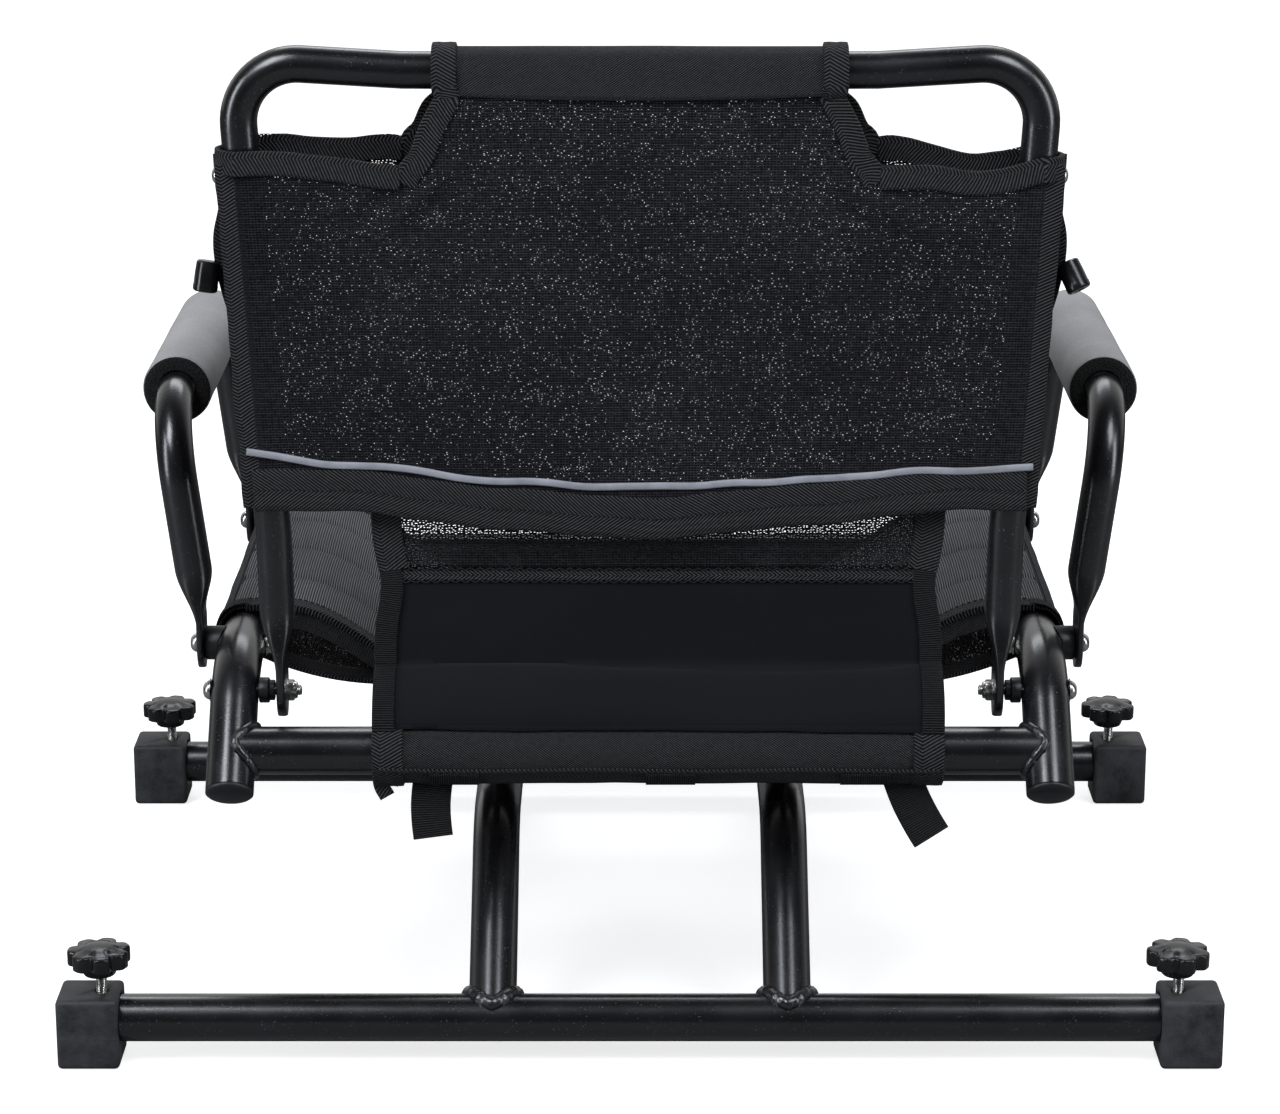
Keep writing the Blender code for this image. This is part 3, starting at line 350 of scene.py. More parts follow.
def close_weave(name, dark, light, pitch=0.0007):
    look = Look(name, dark, 0.85)
    u, v = look.cloth_uv()
    weave = look.times(look.wave(u, pitch), look.wave(v, pitch))
    look.set({"Base Color": look.mix(look.times(weave, look.noise(14, 4)), dark, light),
              "Specular IOR Level": 0.15, "Sheen Weight": 0.06})
    fine = look.bump(weave, 0.35, 0.0003)
    look.bump(look.noise(160, 3), 0.12, 0.0012, fine)
    return look.material


def twill(name, dark, light, pitch=0.0018, slope=0.55, flip=None, fine=0.0007):
    """Webbing: slanting ribs that change direction at the flip line and small yarn marks."""
    look = Look(name, dark, 0.7)
    u, v = look.cloth_uv()
    side = v if flip is None else look.math("ABSOLUTE", look.math("SUBTRACT", v, flip))
    rib = look.wave(look.math("MULTIPLY_ADD", side, slope, u), pitch)
    yarn = look.wave(look.math("MULTIPLY_ADD", u, -0.6, v), fine)
    tone = look.times(look.span(rib, 0.45, 0.95), look.span(yarn, 0, 1, 0.45, 1.0))
    look.set({"Base Color": look.mix(look.times(tone, look.cloud(500, 3, 0.7, 1.15)), dark, light),
              "Specular IOR Level": 0.25})
    look.bump(look.math("MULTIPLY_ADD", yarn, 0.25, rib), 0.9, 0.0008)
    return look.material


def ribbed_seat():
    """Grey ribbed mesh: ribs run from back to front, crossed by short stitches."""
    look = Look("grey_ribbed_seat", (0.02, 0.02, 0.022), 0.7)
    u, v = look.cloth_uv()
    rib = look.wave(u, RIB_PITCH)
    cross = look.wave(v, RIB_PITCH * 0.8)
    tone = look.times(look.span(rib, 0.35, 0.8), look.span(cross, 0.0, 1.0, 0.55, 1.0))
    fade = look.times(tone, look.cloud(18, 3, 0.75, 1.1))
    look.set({"Base Color": look.mix(fade, (0.010, 0.010, 0.012), (0.34, 0.34, 0.36)),
              "Specular IOR Level": 0.25})
    look.bump(look.math("MULTIPLY_ADD", cross, 0.3, rib), 0.8, 0.0006)
    return look.material


def piping_cloth():
    look = Look("grey_piping", (0.36, 0.37, 0.41), 0.55)
    u, v = look.cloth_uv()
    grime = look.cloud(90, 4, low=0.3, high=0.72)
    look.set({"Base Color": look.mix(grime, (0.40, 0.41, 0.46), (0.27, 0.28, 0.31))})
    look.bump(look.times(look.wave(u, 0.0009), look.wave(v, 0.0009)), 0.3, 0.0003)
    return look.material


def floor_paper():
    """Pale paper that fades to the white of the backdrop away from the seat."""
    look = Look("pale_floor", (0.9, 0.9, 0.9), 0.8)
    away = look.add("VectorMath", {0: look.place()}, out=1, operation="LENGTH")
    glow = look.span(away, 0.25, 1.0, 0.74, 1.0)
    camera = look.add("LightPath", out="Is Camera Ray")
    paper = look.mix(look.noise(1.3, 3), (0.80, 0.80, 0.80), (0.84, 0.84, 0.84))
    look.set({"Base Color": look.mix(camera, (0.22, 0.22, 0.22), paper),
              "Specular IOR Level": 0.1, "Emission Color": (1, 1, 1, 1),
              "Emission Strength": look.times(glow, camera)})
    return look.material


LOOKS = {
    "tube": (powder_coat(), "black_tube"),
    "weld": (weld_metal(), "black_tube"),
    "steel": (stainless(), "stainless"),
    "block": (moulded("black_block_plastic", (0.016, 0.016, 0.018), (0.062, 0.062, 0.066),
                      0.45, 0.75, 900, 0.6), "block_plastic"),
    "knob": (moulded("black_knob_plastic", (0.007, 0.007, 0.008), (0.013, 0.013, 0.014),
                     0.14, 0.3, 260, 0.12), "knob_plastic"),
    "cap": (moulded("black_cap_plastic", (0.010, 0.010, 0.012), (0.022, 0.022, 0.024),
                    0.35, 0.5, 700, 0.3), "cap_plastic"),
    "slip_ring": (slip_plastic(), "slip_ring"),
    "foam": (foam_skin(), "foam"),
    "foam_cut": (foam_cut(), "foam"),
    # the mesh looks' lighter colours are partly painted highlight on the yarns
    "mesh": (open_mesh("black_mesh_cloth", (0.001, 0.001, 0.002), (0.055, 0.055, 0.064),
                       (0.165, 0.155)), "mesh_cloth"),
    "front_mesh": (open_mesh("black_mesh_front", (0.001, 0.001, 0.002), (0.03, 0.03, 0.035),
                             (0.20, 0.19), (0.00176, 0.00127)), "mesh_cloth"),
    "strip_mesh": (open_mesh("black_mesh_strip", (0.002, 0.002, 0.003), (0.050, 0.050, 0.054),
                             (0.25, 0.23)), "mesh_cloth"),
    "under_mesh": (open_mesh("black_mesh_under", (0.006, 0.006, 0.007), (0.045, 0.045, 0.048),
                             (0.10, 0.09)), "seat_cloth"),
    "sleeve": (twill("black_sleeve_twill", (0.003, 0.003, 0.004), (0.105, 0.105, 0.110),
                     pitch=0.0017, slope=1.4, fine=0.0011), "mesh_cloth"),
    "panel": (close_weave("black_panel_cloth", (0.006, 0.006, 0.008), (0.019, 0.019, 0.023)),
              "solid_cloth"),
    "seat": (ribbed_seat(), "seat_cloth"),
    "seat_edge": (twill("grey_seat_sleeve", (0.010, 0.010, 0.012), (0.17, 0.17, 0.18),
                        pitch=0.0012, slope=1.0, fine=0.0008), "seat_cloth"),
    "web": (twill("black_webbing", (0.002, 0.002, 0.003), (0.105, 0.105, 0.109),
                  flip=WEB_HALF * 0.55), "webbing"),
    "wide_web": (twill("black_wide_webbing", (0.002, 0.002, 0.003), (0.110, 0.110, 0.115),
                       slope=1.3, pitch=0.0023, flip=0.0), "webbing"),
    "plain_web": (twill("black_plain_webbing", (0.002, 0.002, 0.003), (0.045, 0.045, 0.047),
                        slope=0.0, pitch=0.0012), "webbing"),
    "thread": (close_weave("black_thread", (0.012, 0.012, 0.013), (0.05, 0.05, 0.052), 0.0004),
               "webbing"),
    "piping": (piping_cloth(), "webbing"),
}


# ---- mesh helpers ---------------------------------------------------------------------------

def add_object(name, data):
    made = bpy.data.objects.new(name, data)
    bpy.context.scene.collection.objects.link(made)
    return made


def mesh_of(name, shape, material):
    mesh = bpy.data.meshes.new(name)
    shape.to_mesh(mesh)
    shape.free()
    mesh.materials.append(material)
    return mesh


def piece(name, shape, look, body=None, node=None, angle=40):
    """Make an object from a bmesh drawn in world coordinates and hang it on its body."""
    bmesh.ops.recalc_face_normals(shape, faces=shape.faces)
    material, slot = LOOKS[look]
    mesh = mesh_of(name, shape, material)
    mesh.shade_smooth()
    mesh.set_sharp_from_angle(angle=radians(angle))
    made = add_object(name, mesh)
    if body:
        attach(made, body)
    if node:
        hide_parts(node)
    return made


def skin(rings, uv_rows=None, wrap=True, closed=False, caps=False, shape=None):
    """Faces between rings of points, in a new bmesh or added to shape. uv_rows gives each point its
    (u, v) in metres, wrap joins each ring's ends, closed joins the last ring to the first, and caps
    fill both."""
    shape = shape or bmesh.new()
    layer = shape.loops.layers.uv.verify() if uv_rows else None
    rings = [[shape.verts.new(point) for point in ring] for ring in rings]
    pairs = list(zip(range(len(rings)), range(1, len(rings)))) + [(len(rings) - 1, 0)] * closed
    for low, high in pairs:
        count = len(rings[low])
        for i in range(count if wrap else count - 1):
            j = (i + 1) % count
            corners = [(low, i), (low, j), (high, j), (high, i)]
            face = shape.faces.new([rings[r][k] for r, k in corners])
            if layer:
                for loop, (r, k) in zip(face.loops, corners):
                    loop[layer].uv = uv_rows[r][k]
    if caps:
        shape.faces.new(rings[0])
        shape.faces.new(rings[-1])
    return shape


def filleted(corners, radius, steps=10):
    """A path through the corners, each inner corner rounded."""
    corners = [Vector(corner) for corner in corners]
    points = corners[:1]
    for before, corner, after in zip(corners, corners[1:], corners[2:]):
        back = (before - corner).normalized()
        ahead = (after - corner).normalized()
        opening = back.angle(ahead) / 2
        centre = corner + (back + ahead).normalized() * (radius / sin(opening))
        start = corner + back * (radius / tan(opening)) - centre
        end = corner + ahead * (radius / tan(opening)) - centre
        turn = start.angle(end)
        for t in even(0, 1, steps):
            points.append(centre + (start * sin((1 - t) * turn) + end * sin(t * turn)) / sin(turn))
    return points + corners[-1:]


def through(points, steps=6):
    """A smooth curve through the points."""
    points = [Vector(p) for p in points]
    ends = [points[0] * 2 - points[1]] + points + [points[-1] * 2 - points[-2]]
    curve = []
    for a, b, c, d in zip(ends, ends[1:], ends[2:], ends[3:]):
        for t in even(0, 1, steps)[:-1]:
            curve.append(0.5 * (2 * b + (c - a) * t + (2 * a - 5 * b + 4 * c - d) * t * t
                                + (3 * b - a - 3 * c + d) * t ** 3))
    return curve + [points[-1]]


def directions(points):
    last = len(points) - 1
    return [(points[min(i + 1, last)] - points[max(i - 1, 0)]).normalized()
            for i in range(len(points))]


def travelled(points):
    lengths = [0.0]
    for a, b in zip(points, points[1:]):
        lengths.append(lengths[-1] + (b - a).length)
    return lengths


def lengthwise(rows, places):
    """Each point's uv: how far along its row it is, and the row's own place."""
    return [[(length, place) for length in travelled(row)] for row, place in zip(rows, places)]


def swept(points, sizes, side=X_AXIS, segments=40, lumps=None):
    """A solid bar along the path. Each size is a radius or (half along side, half across)."""
    rings = []
    rows = []
    if not isinstance(sizes, list):
        sizes = [sizes] * len(points)
    stations = zip(points, directions(points), sizes, travelled(points))
    for index, (point, direction, size, length) in enumerate(stations):
        first, second = size if isinstance(size, tuple) else (size, size)
        across = (side - side.dot(direction) * direction).normalized()
        other = direction.cross(across)
        power = 2 / (2 + 3 * (1 - min(first, second) / max(first, second)))
        ring = []
        for k, (c, s) in enumerate(circle(segments)):
            u = copysign(abs(c) ** power, c) * first
            v = copysign(abs(s) ** power, s) * second
            swell = 1 + (lumps(index, k) if lumps else 0)
            ring.append(point + (across * u + other * v) * swell)
        rings.append(ring)
        rows.append([(length, tau * max(first, second) * k / segments) for k in range(segments)])
    return skin(rings, rows, caps=True)


def turned(levels, place, axis, segments=40, closed=False, radius_at=None, shape=None):
    """Revolve (distance along the axis, radius, ...) levels. radius_at can change a level's radius
    by angle; closed joins the last level to the first."""
    turn = Vector(axis).to_track_quat("Z", "Y").to_matrix()
    rings = []
    for level in levels:
        ring = []
        for k in range(segments):
            angle = tau * k / segments
            radius = max(radius_at(angle, *level) if radius_at else level[1], 0.00005)
            spoke = Vector((cos(angle) * radius, sin(angle) * radius, level[0]))
            ring.append(Vector(place) + turn @ spoke)
        rings.append(ring)
    return skin(rings, closed=closed, caps=not closed, shape=shape)


def soft_ring(outline, soft, place, axis, segments=36):
    """A turned ring with rounded corners. Its outline starts and ends at one point in the bore."""
    rounded = filleted([(along, radius, 0) for along, radius in outline], soft, 2)
    return turned([(p.x, p.y) for p in rounded[:-1]], place, axis, segments, closed=True)


def box_shape(node):
    """A cube that fills the node's box."""
    low, high, spot = place_of(node)
    shape = bmesh.new()
    bmesh.ops.create_cube(shape, size=1)
    bmesh.ops.scale(shape, verts=shape.verts, vec=high - low)
    bmesh.ops.translate(shape, verts=shape.verts, vec=spot)
    return shape


def soften(shape, edges, width, segments):
    bmesh.ops.bevel(shape, geom=edges, offset=width, segments=segments, affect="EDGES",
                    profile=0.5)


def ribbon(path, across, half_width=WEB_HALF, thick=0.0016, start=0.0):
    """Webbing along the path. across is each point's sideways direction."""
    rings = []
    rows = []
    if isinstance(across, Vector):
        across = [across] * len(path)
    top = [(-0.93, 1), (-0.5, 1.15), (0, 1), (0.5, 1.15), (0.93, 1)]
    section = [(-1, 0)] + top + [(1, 0)] + [(a, -b) for a, b in reversed(top)]
    for point, direction, side, length in zip(path, directions(path), across, travelled(path)):
        side = (side - side.dot(direction) * direction).normalized()
        normal = direction.cross(side)
        rings.append([point + side * (a * half_width) + normal * (b * thick / 2)
                      for a, b in section])
        rows.append([(start + length, a * half_width) for a, _ in section])
    return skin(rings, rows, caps=True)


def tape(name, path, across, half_width, thick, look, body, node=None):
    """A piece of webbing."""
    return piece(name, ribbon(path, across, half_width, thick), look, body, node, 60)


def stitches(path, normal, pitch=0.0034, length=0.0024, radius=0.00032, zigzag=0.0):
    """A row of small thread stitches lying on a surface along the path."""
    shape = bmesh.new()
    lengths = travelled(path)
    if isinstance(normal, Vector):
        normal = [normal] * len(path)
    segment = 0
    for n in range(int(lengths[-1] / pitch)):
        target = (n + 0.5) * pitch
        while segment < len(path) - 2 and lengths[segment + 1] < target:
            segment += 1
        share = (target - lengths[segment]) / max(lengths[segment + 1] - lengths[segment], 1e-9)
        centre = path[segment].lerp(path[segment + 1], share)
        along = (path[segment + 1] - path[segment]).normalized()
        up = normal[segment]
        side = along.cross(up).normalized()
        if zigzag:
            along = (along * pitch + side * (zigzag if n % 2 else -zigzag)).normalized()
            side = along.cross(up).normalized()
        rings = []
        for t, swell, lift in ((-0.5, 0.4, -1), (-0.3, 1, 0.5), (0.3, 1, 0.5), (0.5, 0.4, -1)):
            middle_point = centre + along * (t * length) + up * (lift * radius)
            rings.append([middle_point + (side * cos(a) + up * sin(a)) * (radius * swell)
                          for a in even(0, pi * 5 / 3, 5)])
        skin(rings, caps=True, shape=shape)
    return shape


def sew(name, path, normal, body):
    """A row of stitches as a piece."""
    return piece("stitching_" + name, stitches(path, normal), "thread", body)


def surface(name, rows, uv_rows, look, thickness, body=None, node=None, wrap=False):
    """A sheet of cloth through rows of points."""
    made = piece(name, skin(rows, uv_rows, wrap), look, body, node, 80)
    solid = made.modifiers.new("thickness", "SOLIDIFY")
    solid.thickness = thickness
    solid.offset = 0
    solid.use_even_offset = True
    return made


def weld(name, loop, size, side, body, ripples, ridge, grain):
    """A rippled bead along a closed loop of points."""
    def lumps(index, k):
        step = (index / (len(loop) - 1) * ripples) % 1
        return ridge * (1 - abs(2 * step - 1)) + 0.12 * uneven(index * grain[0], k, grain[1])

    piece(name, swept(loop, size, side, 12, lumps), "weld", body, angle=80)


# ---- base -----------------------------------------------------------------------------------

def leg_weld(name, leg_x, bar_node):
    """The fillet weld where a sloping leg meets a cross bar of the same size."""
    bar = middle(bar_node)
    along = Vector((0, -cos(LEG_SLOPE) * copysign(1, bar.y), sin(LEG_SLOPE)))
    centre = Vector((leg_x, bar.y, bar.z))
    up = X_AXIS.cross(along).normalized()
    loop = []
    for angle in even(0, tau, 72):
        spoke = X_AXIS * (cos(angle) * TUBE_R) + up * (sin(angle) * TUBE_R)
        a = along.y ** 2 + along.z ** 2
        b = 2 * (spoke.y * along.y + spoke.z * along.z)
        c = spoke.y ** 2 + spoke.z ** 2 - (TUBE_R + 0.0002) ** 2
        reach = (-b + sqrt(max(b * b - 4 * a * c, 0))) / (2 * a)
        loop.append(centre + spoke * 1.02 + along * reach)
    weld(name, loop, 0.0034, Y_AXIS, "base", 26, 0.22, (0.4, 0))


def tube(node, path, radius, body, side=X_AXIS):
    """The round tube that stands for a CAD tube."""
    piece("tube_" + node, swept(path, radius, side), "tube", body, node)


def straight_tube(node, reach, body):
    """A tube along X that reaches as far on both sides."""
    spot = middle(node)
    points = [Vector((reach * t, spot.y, spot.z)) for t in (-1, -0.4, 0.3, 1)]
    tube(node, points, TUBE_R, body, Y_AXIS)


def level_path(node, slope, bend_r, radius, end, rises=True):
    """A tube that slopes up or down from its rear end, runs level and comes back at the front."""
    low, high, spot = place_of(node)
    level = high.z - radius if rises else low.z + radius
    knee = end.y - abs(level - end.z) / tan(slope)
    places = [(end.y, end.z), (knee, level), (-knee, level), (-end.y, end.z)]
    return filleted([(spot.x, y, z) for y, z in places], bend_r)


def build_base():
    for end in ENDS:
        straight_tube(end + "_bar", end_x(end + "_bar", 1), "base")
    bar = middle("rear_bar")
    for side in SIDES:
        node = "leg_" + side
        tube(node, level_path(node, LEG_SLOPE, LEG_BEND_R, TUBE_R, bar), TUBE_R, "base")
        for end in ENDS:
            leg_weld("weld_leg_" + end + "_" + side, middle(node).x, end + "_bar")


def swivel_plate(node, body):
    """A square plate with rounded corners and a softened rim."""
    shape = box_shape(node)
    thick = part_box(node)[1].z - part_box(node)[0].z
    upright = [e for e in shape.edges if abs(e.verts[0].co.z - e.verts[1].co.z) > thick / 2]
    soften(shape, upright, 0.012, 8)
    rim = [e for e in shape.edges if abs(e.verts[0].co.z - e.verts[1].co.z) < 1e-6]
    soften(shape, rim, 0.0006, 2)
    piece("pressed_" + node, shape, "tube", body, node)


def build_swivel():
    swivel_plate("swivel_lower_plate", "base")
    swivel_plate("swivel_upper_plate", "seat")
    low, high, _ = place_of("swivel_slip_ring")
    outer, bore, height = (high.x - low.x) / 2, 0.030, high.z - low.z
    outline = [(height / 2, bore), (0, bore), (0, outer), (height * 0.42, outer),
               (height * 0.5, outer - 0.002), (height * 0.58, outer), (height, outer),
               (height, bore), (height / 2, bore)]
    ring = soft_ring(outline, 0.0012, (0, 0, low.z), Z_AXIS, 72)
    piece("moulded_slip_ring", ring, "slip_ring", "base", "swivel_slip_ring")
    low, high, _ = place_of("swivel_pin")
    head_r, pin_r, head, length = (high.x - low.x) / 2, 0.006, 0.003, high.z - low.z
    rivet = [(0, 0), (0, head_r * 0.6), (head * 0.4, head_r * 0.95), (head, head_r), (head, pin_r)]
    rivet += [(length - along, radius) for along, radius in reversed(rivet)]
    piece("riveted_pin", turned(rivet, (0, 0, low.z), Z_AXIS, 32), "steel", "base", "swivel_pin")


# ---- clamp feet -----------------------------------------------------------------------------

def cut_away(made, cutter_shape):
    """Cut a shape out of an object, for good."""
    cutter = piece("cutter", cutter_shape, "block")
    cut = made.modifiers.new("cut", "BOOLEAN")
    cut.operation, cut.solver, cut.object = "DIFFERENCE", "EXACT", cutter
    bpy.context.view_layer.update()
    depsgraph = bpy.context.evaluated_depsgraph_get()
    mesh = bpy.data.meshes.new_from_object(made.evaluated_get(depsgraph))
    made.modifiers.clear()
    made.data = mesh
    bpy.data.objects.remove(cutter)


def foot_block(node, stud_node, body, sign):
    """A moulded block with rounded edges, a blind bore for the bar and a hole for the stud."""
    low, high, centre = place_of(node)
    top = high.z - low.z
    shape = box_shape(node)
    soften(shape, shape.edges[:], 0.0026, 4)
    made = piece("moulded_" + node, shape, "block", body, node, 50)
    bar_z = middle("rear_bar").z
    depth, bore_r, drill_r = 0.028, TUBE_R + 0.0003, BOLT_R + 0.0004
    bore = turned([(-0.01, 0), (-0.01, bore_r + 0.0022), (0.0, bore_r + 0.0016),
                   (0.0016, bore_r), (depth, bore_r), (depth, 0)],
                  (end_x(node, -sign), centre.y, bar_z), X_AXIS * sign, 48)
    stud = middle(stud_node)
    drill = turned([(bar_z, 0), (bar_z, drill_r), (top - 0.0008, drill_r), (top, drill_r + 0.0008),
                    (top + 0.01, drill_r + 0.0008), (top + 0.01, 0)],
                   (stud.x, stud.y, 0), Z_AXIS, 24)
    cut_away(made, bore)
    cut_away(made, drill)
    made.data.shade_smooth()
    made.data.set_sharp_from_angle(angle=radians(50))


def threaded(place, axis, length, shape=None):
    """A screw thread with a chamfered tip at the far end."""
    pitch = 0.001

    def groove(angle, along, radius):
        phase = (along / pitch - angle / tau) % 1
        chamfer = max(0.0, 0.0006 - (length - along)) + max(0.0, 0.0003 - along)
        return radius - radius * 0.17 * (1 - abs(2 * phase - 1)) - chamfer

    levels = [(along, BOLT_R) for along in even(0, length, int(length / (pitch / 4)))]
    return turned(levels, place, axis, 20, radius_at=groove, shape=shape)


def star_knob(node, body):
    """A seven lobed hand knob: round boss below, upright lobes and a low dome."""
    low, high, centre = place_of(node)
    height = high.z - low.z
    boss, dome, lobes = 0.0055, 0.0026, 7
    rim = height - dome
    levels = [(0.0, 0.42, 0.0), (0.0003, 0.49, 0.0), (0.0010, 0.52, 0.0),
              (boss - 0.0008, 0.545, 0.0), (boss - 0.0001, 0.58, 0.0), (boss + 0.0001, 0.86, 0.85),
              (boss + 0.0003, 0.97, 1.0), (boss + 0.0008, 0.995, 1.0), (rim - 0.0014, 1.0, 1.0),
              (rim - 0.0005, 0.99, 1.0), (rim - 0.0001, 0.96, 1.0), (rim + 0.0002, 0.80, 0.75),
              (rim + 0.0005, 0.66, 0.35), (rim + dome * 0.55, 0.52, 0.05),
              (rim + dome * 0.85, 0.32, 0.0), (height, 0.08, 0.0)]

    def lobed(angle, _, share, depth):
        dip = (0.5 + 0.5 * cos(lobes * angle)) ** 2.6
        return (high.x - low.x) / 2 * (share - depth * 0.20 * dip)

    shape = turned(levels, (centre.x, centre.y, low.z), Z_AXIS, lobes * 16, radius_at=lobed)
    piece("moulded_" + node, shape, "knob", body, node, 60)


def build_feet():
    for end, side in CORNERS:
        place = end + "_" + side
        stud = "clamp_stud_" + place
        foot_block("foot_block_" + place, stud, "foot_" + place, SIDES[side])
        low, high, spot = place_of(stud)
        shape = threaded((spot.x, spot.y, high.z + 0.0002), -Z_AXIS, high.z - low.z)
        piece("threaded_" + stud, shape, "steel", "stud_" + place, stud, 70)
        star_knob("star_knob_" + place, "knob_" + place)


# ---- seat frame -----------------------------------------------------------------------------

def rail_path(side):
    node = "seat_rail_" + side
    low, high, spot = place_of(node)
    end = Vector((spot.x, high.y - TUBE_R * sin(RAIL_SLOPE), low.z + TUBE_R * cos(RAIL_SLOPE)))
    return level_path(node, RAIL_SLOPE, RAIL_BEND_R, TUBE_R, end)


def rail_weld(name, x, cross, sign):
    """Weld bead along the seam where a cross tube meets a sloping rail of the same size."""
    slope = RAIL_SLOPE * copysign(1, cross.y)
    loop = []
    for angle in even(0, tau, 60):
        inward = hypot(TUBE_R * cos(angle + slope), 0.0028)
        loop.append(Vector((x - sign * inward, cross.y + cos(angle) * TUBE_R * 1.03,
                            cross.z + sin(angle) * TUBE_R * 1.03)))
    weld(name, loop, 0.0021, X_AXIS, "seat", 22, 0.18, (0.5, 3))


def rail_cap(end, side):
    """A pressed-in plug with a rim and a low dome."""
    node = "rail_cap_" + end + "_" + side
    path = rail_path(side) if end == "rear" else rail_path(side)[::-1]
    dome = [(0.42, 0.995), (0.6, 0.93), (0.78, 0.80), (0.92, 0.55), (0.98, 0.28), (1.0, 0)]
    profile = [(-0.010, 0), (-0.010, TUBE_R * 0.82), (0.0002, TUBE_R * 0.85),
               (0.0002, TUBE_R * 0.985), (0.0006, TUBE_R)]
    profile += scaled(dome, 0.0039, TUBE_R)
    shape = turned(profile, path[0], (path[0] - path[1]).normalized())
    piece("plug_" + node, shape, "cap", "seat", node, 50)


def build_seat_frame():
    for side in SIDES:
        tube("seat_rail_" + side, rail_path(side), TUBE_R, "seat")
    for end in ENDS:
        node = end + "_cross_tube"
        straight_tube(node, middle("seat_rail_left").x - 0.001, "seat")
        for side, sign in SIDES.items():
            rail_x = middle("seat_rail_" + side).x
            rail_weld("weld_cross_" + end + "_" + side, rail_x, middle(node), sign)
    cross = middle("rear_cross_tube")
    for side in SIDES:
        node = "seat_support_" + side
        path = level_path(node, SUPPORT_SLOPE, SUPPORT_BEND_R, SUPPORT_R, cross, False)
        tube(node, path, SUPPORT_R, "seat")
    for end, side in CORNERS:
        rail_cap(end, side)


# ---- fasteners ------------------------------------------------------------------------------

def hexagon(angle, corner_r):
    """Distance from a hexagon's middle to its side at an angle."""
    return corner_r * cos(pi / 6) / cos(angle % (pi / 3) - pi / 6)


def near_end(node, axis):
    """The point on a node's middle line where a piece that points along the X axis begins."""
    low, high, spot = place_of(node)
    return Vector((end_x(node, -axis.x), spot.y, spot.z)), high.x - low.x


def button_head(node, axis):
    """A button head screw with a hexagon socket and a threaded shank."""
    start, length = near_end(node, axis)
    head_r, head = 0.0052, 0.0038
    under = start + axis * head
    dome = [(0.35, 0.97), (0.62, 0.86), (0.85, 0.70), (0.97, 0.54), (1, 0.47)]
    levels = [(0.0, head_r * 0.97, False), (-0.0004, head_r, False)]
    levels += [(-head * along, head_r * share, False) for along, share in dome]
    levels += [(-head, head_r * 0.40, True), (-head * 0.45, head_r * 0.40, True)]
    shape = turned(levels, under, axis, 36,
                   radius_at=lambda angle, _, r, hexed: hexagon(angle, r) if hexed else r)
    threaded(under - axis * 0.0005, axis, length - head + 0.0005, shape)
    piece("screw_" + node, shape, "steel", "seat", node, 35)


def washer(name, place, axis, outer, thick):
    bore = BOLT_R + 0.0002
    outline = [(thick / 2, bore), (0, bore), (0, outer), (thick, outer), (thick, bore),
               (thick / 2, bore)]
    piece(name, soft_ring(outline, thick * 0.25, place, axis), "steel", "seat")


def lock_nut(node, axis):
    """A hexagon nut with chamfered corners and a nylon collar."""
    start, thick = near_end(node, axis)
    corner_r = 0.0058
    outline = [(0.0, 1.1, False), (0.14, 1.1, False), (0.16, 0.93, True), (0.24, 1, True),
               (0.66, 1, True), (0.74, 0.90, True), (0.76, 0.80, False), (0.92, 0.78, False),
               (1, 0.68, False)]
    levels = [(thick * along, corner_r * share, hexed) for along, share, hexed in outline]
    levels += [(thick, BOLT_R, False), (thick * 0.6, BOLT_R, False), (0.0, BOLT_R, False)]
    shape = turned(levels, start, axis, 48, True,
                   lambda angle, _, r, hexed: min(r, hexagon(angle, corner_r)) if hexed else r)
    piece("hex_" + node, shape, "steel", "seat", node, 30)


def saddle(end, side, sign):
    """A moulded saddle whose inner face is hollowed to sit on the round rail."""
    node = "arm_saddle_" + end + "_" + side
    low, high, spot = place_of(node)
    radius = (high.z - low.z) / 2
    rail_x = middle("seat_rail_" + side).x
    outer_x = end_x(node, sign)
    rings = []
    for share, set_back in ((0.45, None), (1.0, None), (1.0, 0.0008), (0.93, 0), (0.45, 0)):
        ring = []
        for c, s in circle(40):
            y, z = c * radius * share, s * radius * share
            hollow = sqrt((TUBE_R + 0.0003) ** 2 - min(z * z, 0.00009))
            x = rail_x + sign * hollow if set_back is None else outer_x - sign * set_back
            ring.append((x, spot.y + y, spot.z + z))
        rings.append(ring)
    piece("moulded_" + node, skin(rings, closed=True), "cap", "seat", node)


def bush(node, axis):
    """The stepped bush that holds the back's foot away from the rail."""
    place, length = near_end(node, axis)
    big, small, bore = 0.0068, 0.0055, BOLT_R + 0.0003
    outline = [(0.003, bore), (0, bore), (0, big), (length * 0.63, big), (length * 0.66, small),
               (length, small), (length, bore), (0.003, bore)]
    piece("bush_" + node, soft_ring(outline, 0.0005, place, axis), "cap", "seat", node)


def build_fasteners():
    for side, sign in SIDES.items():
        inward = X_AXIS * -sign
        for node in ("arm_bolt_rear_", "arm_bolt_front_", "back_bolt_"):
            button_head(node + side, inward)
        for node in ("arm_nut_rear_", "back_nut_"):
            lock_nut(node + side, inward)
        spot = middle("back_bolt_" + side)
        head_face = middle("seat_rail_" + side).x + sign * (TUBE_R + 0.0001)
        washer("washer_back_" + side, (head_face, spot.y, spot.z), -inward, 0.0062, 0.0005)
        bush("back_spacer_" + side, inward)
        for end in ENDS:
            saddle(end, side, sign)


# ---- armrests and back tube -----------------------------------------------------------------

